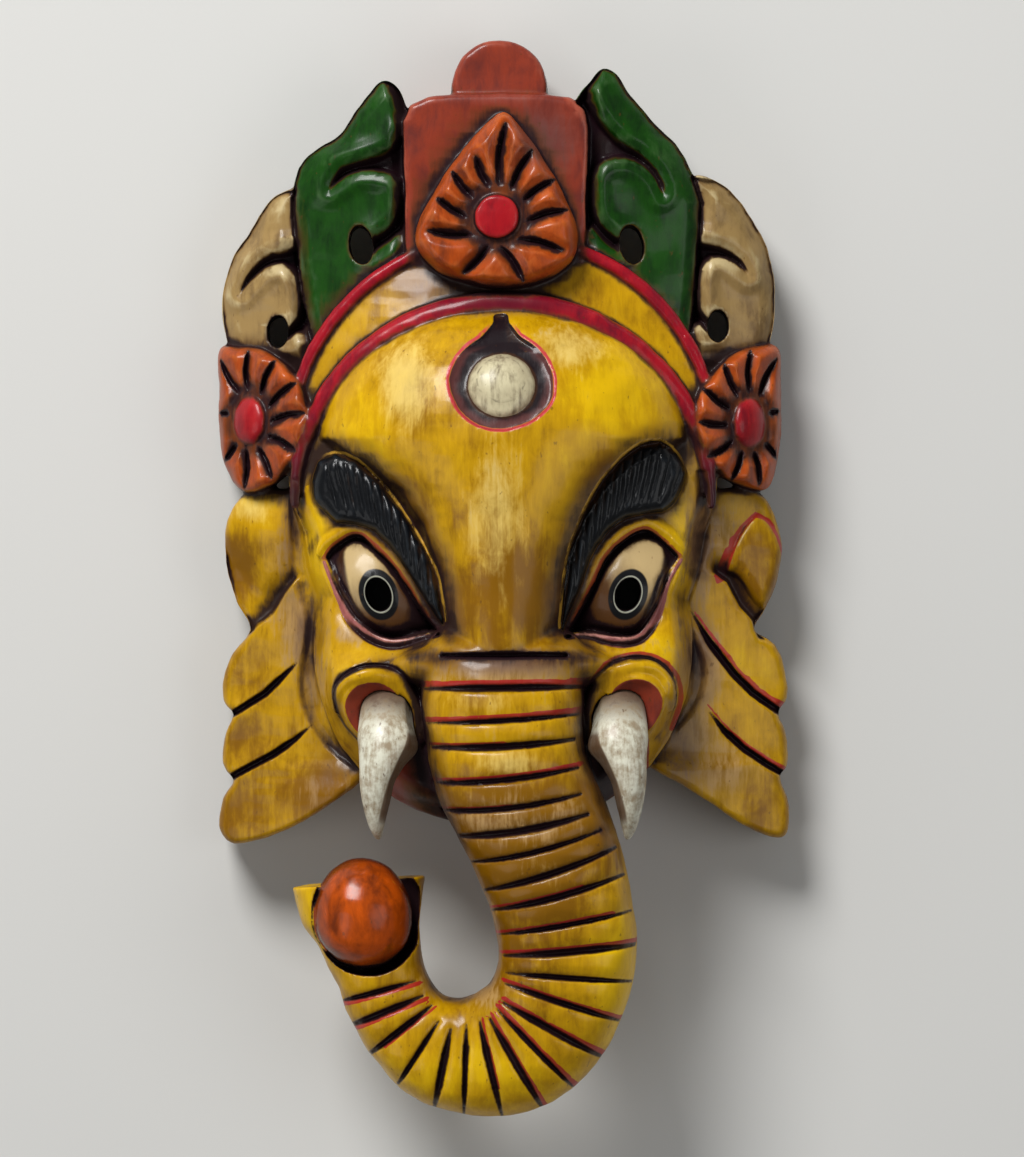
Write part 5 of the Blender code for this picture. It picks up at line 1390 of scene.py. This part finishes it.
def paintedWood():
    f = Finish("paintedCarving")
    c = colours
    edge = f.field("edge")
    wobble = (f.noise(3.0, 2, 0.5) - 0.5) * 0.5
    streaks = f.noise(1.3, 3, 0.6, (1, 11, 2))
    broad = f.noise(17, 3, 0.6, (1, 1.5, 1), 0.5)
    patches = f.noise(6, 4, 0.65, (1, 2.2, 1), 0.4, 5.0)
    fine = f.noise(0.7, 2, 0.6, (1, 2, 1))

    def inside(name, soft=0.16, grow=0.0):
        return f.step(f.field(name) + wobble * 0.35 + grow, -soft, soft)

    def band(name, near, far, soft=0.2):
        # a painted line outside a paint's edge, from near to far millimetres off it
        off = f.field(name) + wobble * 0.4
        return f.step(off, -far - soft, -far + soft) * f.step(off, -near + soft, -near - soft)

    def blotched(name, uneven, streaked, low, high):
        # a worn or stained area with a ragged edge
        return f.step(f.field(name) + (patches - 0.5) * uneven + (streaks - 0.5) * streaked, low, high)

    def lay(under, name, worn, coat=None, grow=0.0):
        paint, deep, wearAndSheen = [tint(*levels) for levels in coats[coat or name]]
        shown = f.mix(deep, paint, f.step(streaks * 0.15 + patches * 0.6 + broad * 0.35, 0.34, 0.66))
        # lighter on raised edges: wear, and on the brow a painted sheen
        shown = f.mix(shown, wearAndSheen, f.step(edge + (patches - 0.5) * 0.9, 0.25, 0.7) * worn)
        return f.mix(under, shown, inside(name, grow=grow))

    # yellow ground
    # lighter where painted highlight and light paint lie, darker where painted shade and dark paint lie
    tone = streaks * 0.3 + patches * 0.66 + broad * 0.45 + f.field("brightAndHighlight") * 0.36 - f.field("deep") * 0.34
    colour = f.mix(c["deepGold"], c["gold"], f.step(tone, 0.4, 0.82))
    colour = f.mix(colour, c["brightGold"], f.step(tone, 0.74, 1.12) * 0.8)
    tan = f.step(f.field("tan") * 0.95 + (patches - 0.5) * 1.1 + (streaks - 0.5) * 0.7, 0.32, 0.75)
    colour = f.mix(colour, f.mix(c["deepTan"], c["tan"], f.step(streaks + patches, 0.7, 1.15)), tan * 0.85)
    plum = blotched("purple", 1.0, 0.5, 0.15, 0.85)
    # pale patches: painted highlight and pale worn paint
    colour = f.mix(colour, c["paleGold"], blotched("paleAndHighlight", 0.9, 0.5, 0.35, 0.95) * 0.55)
    # paints
    for name, worn in (("brick", 0.4), ("orange", 0.2), ("discs", 0.15), ("green", 0.25), ("cream", 0.6),
                       ("red", 0.4)):
        colour = lay(colour, name, worn)
    spotX = abs(f.node("ShaderNodeSeparateXYZ", {}, {0: f.place}, 0))
    spotY = f.node("ShaderNodeSeparateXYZ", {}, {0: f.place}, 1)
    dusky = inside("red") * f.most(f.step(spotY, 62, 30), plum)
    colour = f.mix(colour, tint(*coats["red"][1]), dusky * 0.85)
    colour = f.mix(colour, c["purple"], inside("red") * f.step(spotY, 44, 26) * 0.85)
    colour = lay(colour, "chin", 0.5, "brick", -0.4)
    colour = lay(colour, "pocket", 0.5, "brick")
    colour = f.mix(colour, c["plum"], plum * 0.72 * (1 - inside("discs")) * (1 - inside("red")))
    colour = lay(colour, "browBand", 0.2, "brow")
    # painted shade: the gap round the sweet in dark brown
    colour = lay(colour, "cup", 0.3)
    ball = f.mix(c["deepSweet"], c["sweet"], f.step(patches * 0.7 + broad * 0.5, 0.4, 0.78))
    colour = f.mix(colour, ball, inside("sweet"))
    # painted shade round the sweet where its surface turns away from the front
    rim = f.step(f.field("steep") + (patches - 0.5) * 0.4, 0.3, 0.95)
    colour = f.mix(colour, c["sweetRimShade"], rim * inside("sweet") * 0.85)
    # eyes
    offX, offY = spotX - face["eye"][0], spotY - (face["eye"][1] - drawn["midY"])
    turn = math.radians(features["pupilTurn"])
    along = offX * math.cos(turn) + offY * math.sin(turn)
    across = offY * math.cos(turn) - offX * math.sin(turn)
    halfX, halfY = features["pupil"]
    ring = f.maths("SQRT", along * along * (1 / halfX ** 2) + across * across * (1 / halfY ** 2))
    # painted shade on the eyeball, darker towards its inner and lower side
    eyeball = f.mix(c["eyeShade"], c["eye"], f.step(spotX * 0.05 + spotY * 0.05 + patches * 0.9, 1.85, 3.0))
    eyeball = f.mix(eyeball, c["iris"], f.step(ring + wobble * 0.1, 1.62, 1.5))
    eyeball = f.mix(eyeball, c["irisRing"], f.step(ring, 1.17, 1.13) * f.step(ring, 1.04, 1.07))
    opening = f.field("eyeOpen") + wobble * 0.3
    opened = f.step(opening, -0.1, 0.3)
    # painted shade in the gap between the eyeball and the lids
    colour = f.mix(colour, c["eyeGapShade"], opened)
    colour = f.mix(colour, eyeball, opened * f.step(f.field("eyeBall") + wobble * 0.5, -0.9, 0.6))
    upper = f.step(opening, -1.3, -1.0) * (1 - opened) * f.field("upperEye")
    colour = f.mix(colour, c["lidLine"], upper * 0.85)
    colour = lay(colour, "lidBand", 0.6, "lid")
    # the round mark
    mark = f.mix(c["markShade"], c["mark"], f.step(patches + streaks * 0.4, 0.45, 0.8))
    deep = f.most(f.step(f.field("hollow") + (patches - 0.5) * 4, 0.8, 3.6), f.step(spotY, 72, 77))
    colour = f.mix(colour, f.mix(c["markEdge"], c["markHollow"], deep), inside("hollow"))
    colour = f.mix(colour, mark, inside("disc"))
    rimLine = band("hollow", 0.1, 1.2) * f.step(patches, 0.25, 0.4) * f.step(spotY, 84.5, 80.5)
    colour = f.mix(colour, c["rim"], rimLine)
    # painted red lines
    line = f.step(abs(f.field("redSide")) - f.field("redWide") + wobble * 0.35, 0.12, -0.12)
    line = line * f.step(f.field("redWide"), 0.1, 0.2)
    colour = f.mix(colour, tint(*coats["red"][0]), line * f.step(patches + fine * 0.3, 0.32, 0.45) * 0.9)
    # patina and painted shade in the hollows, from the ray-cast shade fields, steep sides and glaze lines,
    # and worn edges kept lighter
    seams = 0.0
    for name in ("brick", "orange", "green", "cream", "red", "discs", "browBand", "disc"):
        seams = f.most(seams, f.step(abs(f.field(name)), 2.4, 0.1))
    grimeAndShade = f.field("shade") * 1.5 + f.field("dusk") * 1.05 + f.field("purple") * 0.15
    grimeAndShade = grimeAndShade + f.field("steep") * 0.15
    grimeAndShade = grimeAndShade + f.most(seams * 0.5, f.field("glazeAndShade") * 1.1 * (1 - inside("discs")))
    grimeAndShade = grimeAndShade * (1 - inside("browBand") * 0.8)
    dirtAndShade = grimeAndShade + (streaks - 0.5) * 0.4 + (patches - 0.5) * 0.72 + (broad - 0.5) * 0.35 - edge * 0.35
    # brown, then purple where the patina and painted shade are strongest
    colour = f.mix(colour, c["brown"], f.step(dirtAndShade, 0.2, 0.8) * 0.68)
    colour = f.mix(colour, c["purple"], f.step(dirtAndShade, 0.48, 1.02) * 0.93)
    # a gold line over each brow, left clean
    browLine = band("browBand", 0.0, 0.8) * f.step(spotX, 61.0, 56.0) * f.step(f.field("browTop"), 0.2, 1.0)
    browLine = browLine * f.step(patches + fine * 0.3, 0.5, 0.7)
    colour = f.mix(colour, c["browLine"], browLine * 0.8)
    specks = f.step(f.noise(1.7, 2, 0.5, (1, 1.8, 1), 0.0, 9.0), 0.69, 0.76)
    colour = f.mix(colour, c["brown"], specks * 0.5 * (1 - inside("browBand")))
    cut = f.step(f.field("cut") + wobble * 0.5, 0.3, -0.35)
    colour = f.mix(colour, c["ink"], cut * 0.93)
    # walls of the pierced holes in near black: painted shade
    colour = f.mix(colour, c["hole"], inside("dark", grow=-0.1) * 0.95)
    # bare stained back
    grain = f.noise(1.6, 4, 0.6, (1, 16, 1), 0.6)
    bare = f.mix(c["deepBack"], c["back"], f.step(grain * 0.7 + broad * 0.5, 0.42, 0.78))
    behind = inside("back", 0.5)
    colour = f.mix(colour, bare, behind)

    v = varnish
    rough = v["rough"] + (patches - 0.5) * 0.2 + behind * 0.35 + tan * 0.06 - inside("sweet") * 0.15
    height = streaks * 0.3 + fine * 0.12 + patches * 0.4 + grain * behind * 0.8
    relief = {"Strength": v["bump"], "Distance": v["bumpDepth"], "Height": height}
    bump = f.node("ShaderNodeBump", {}, relief)
    coat = f.most(v["coat"] - behind * v["coat"] - f.step(dirtAndShade, 0.5, 1.0) * 0.18, 0.0)
    f.surface({"Base Color": colour, "Roughness": rough, "Normal": bump, "Coat Weight": coat,
               "Coat Roughness": v["coatRough"], "Specular IOR Level": v["specular"]})
    return f.material


def tuskPaint():
    f = Finish("tuskPaint")
    c = colours
    root = f.field("root")
    facet = f.field("facet")
    streaks = f.noise(1.2, 3, 0.6, (1, 9, 1))
    patches = f.noise(5, 4, 0.65)
    colour = f.mix(c["tuskShade"], c["tusk"], f.step(streaks * 0.4 + patches * 0.7, 0.4, 0.68))
    # brown stain on the facet, and near the root brown dirt and painted shade where the tusk enters its
    # socket
    stainAndRootShade = f.step(root * 1.3 + facet * 1.3 + (patches - 0.5) * 0.9 + (streaks - 0.5) * 0.5, 0.55, 1.25)
    colour = f.mix(colour, c["tuskStain"], stainAndRootShade * 0.9)
    # darkest at the root: dirt and painted shade
    colour = f.mix(colour, c["tuskRootDirtAndShade"], f.step(root * 1.2 + facet * 0.35 + patches * 0.3, 1.0, 1.45) * 0.85)
    specks = f.step(f.noise(1.6, 2, 0.5, (1, 2.5, 1), 0.0, 4.0), 0.68, 0.74)
    colour = f.mix(colour, c["tuskStain"], specks * 0.7)
    relief = {"Strength": 0.3, "Distance": 0.0005, "Height": streaks * 0.5 + patches}
    bump = f.node("ShaderNodeBump", {}, relief)
    f.surface({"Base Color": colour, "Roughness": 0.42 + stainAndRootShade * 0.2, "Normal": bump, "Coat Weight": 0.15,
               "Coat Roughness": 0.2})
    return f.material


# tusks
def dressTusk(mesh, way):
    # how near each place is to the root, and to the stained facet along the inner edge
    x, y = readRows(mesh.vertices, "co").T[:2]
    inner = [(row[0] + row[3], row[1]) for row in spline(tusk["rows"], 4)]
    gap = nearLine(x * -way, y, inner)[0]
    addField(mesh, "root", ramp(118, 147, y))
    addField(mesh, "facet", ramp(3.4, 1.8, gap) * ramp(131, 125, y) * ramp(93, 103, y))


print("tusks")
tuskPieces = []
for side, way in bothSides:
    made = makeTusk("tuskPiece" + side, way, 0.0, bpy.context.scene.collection, "tusk")
    dressTusk(made.data, way)
    tuskPieces.append(made)

# into metres, on the frame's own origin
low, high = [np.array(corner) for corner in cadBox]
finishes = (paintedWood(), tuskPaint(), tuskPaint())
for piece, material in zip((maskPiece, *tuskPieces), finishes):
    mesh = piece.data
    co = readRows(mesh.vertices, "co") - np.array([drawn["midX"], drawn["midY"], 0])
    writePoints(mesh, np.clip(co * drawn["toMetres"], low, high))
    mesh.polygons.foreach_set("use_smooth", np.ones(len(mesh.polygons), bool))
    mesh.materials.clear()
    mesh.materials.append(material)
    for spare in [a for a in mesh.attributes if a.name == "home"]:
        mesh.attributes.remove(spare)
for group in (blanks, lateBlanks, cutters):
    for spare in list(group.objects):
        bpy.data.objects.remove(spare)
    bpy.data.collections.remove(group)

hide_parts("mask")
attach(maskPiece, "root")
for piece, node in zip(tuskPieces, ("tusk_left", "tusk_right")):
    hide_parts(node)
    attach(piece, "root")

# floor, camera and lights
studio = {
    "floor": 4.0, "floorDrop": 0.0004, "middle": (0.0029, -0.0007), "far": 3.0, "frameWide": 0.3413,
    "frameLevel": 0.05,
    # place, size and watts of each soft light
    "lights": [((-0.72, 1.5, 1.4), 0.9, 54), ((1.2, -0.2, 1.5), 1.2, 6), ((-1.3, -0.6, 1.2), 1.2, 5)],
    "sky": 0.17,
}
work = bmesh.new()
bmesh.ops.create_grid(work, x_segments=1, y_segments=1, size=studio["floor"] / 2)
bmesh.ops.translate(work, vec=(0, 0, -studio["floorDrop"]), verts=work.verts)
mesh = bpy.data.meshes.new("floor")
work.to_mesh(mesh)
work.free()
floor = bpy.data.objects.new("floor", mesh)
bpy.context.scene.collection.objects.link(floor)
stone = Finish("paleFloor")
stone.surface({"Base Color": tint(205, 204, 200), "Roughness": 0.9})
mesh.materials.append(stone.material)

lens = bpy.data.cameras.new("camera")
lens.sensor_fit = "HORIZONTAL"
lens.sensor_width = 36
lens.lens = 36 * (studio["far"] - studio["frameLevel"]) / studio["frameWide"]
camera = bpy.data.objects.new("camera", lens)
camera.location = (*studio["middle"], studio["far"])
bpy.context.scene.collection.objects.link(camera)
bpy.context.scene.camera = camera
for i, (place, size, watts) in enumerate(studio["lights"]):
    lamp = bpy.data.lights.new("softLight" + str(i), "AREA")
    lamp.shape = "DISK"
    lamp.size = size
    lamp.energy = watts
    holder = bpy.data.objects.new(lamp.name, lamp)
    holder.location = place
    holder.rotation_euler = Vector(place).to_track_quat("Z", "Y").to_euler()
    bpy.context.scene.collection.objects.link(holder)
world = bpy.data.worlds.new("world")
world.use_nodes = True
world.node_tree.nodes["Background"].inputs["Color"].default_value = (0.93, 0.96, 1.0, 1)
world.node_tree.nodes["Background"].inputs["Strength"].default_value = studio["sky"]
bpy.context.scene.world = world
bpy.context.scene.view_settings.view_transform = "Standard"

print("finished")
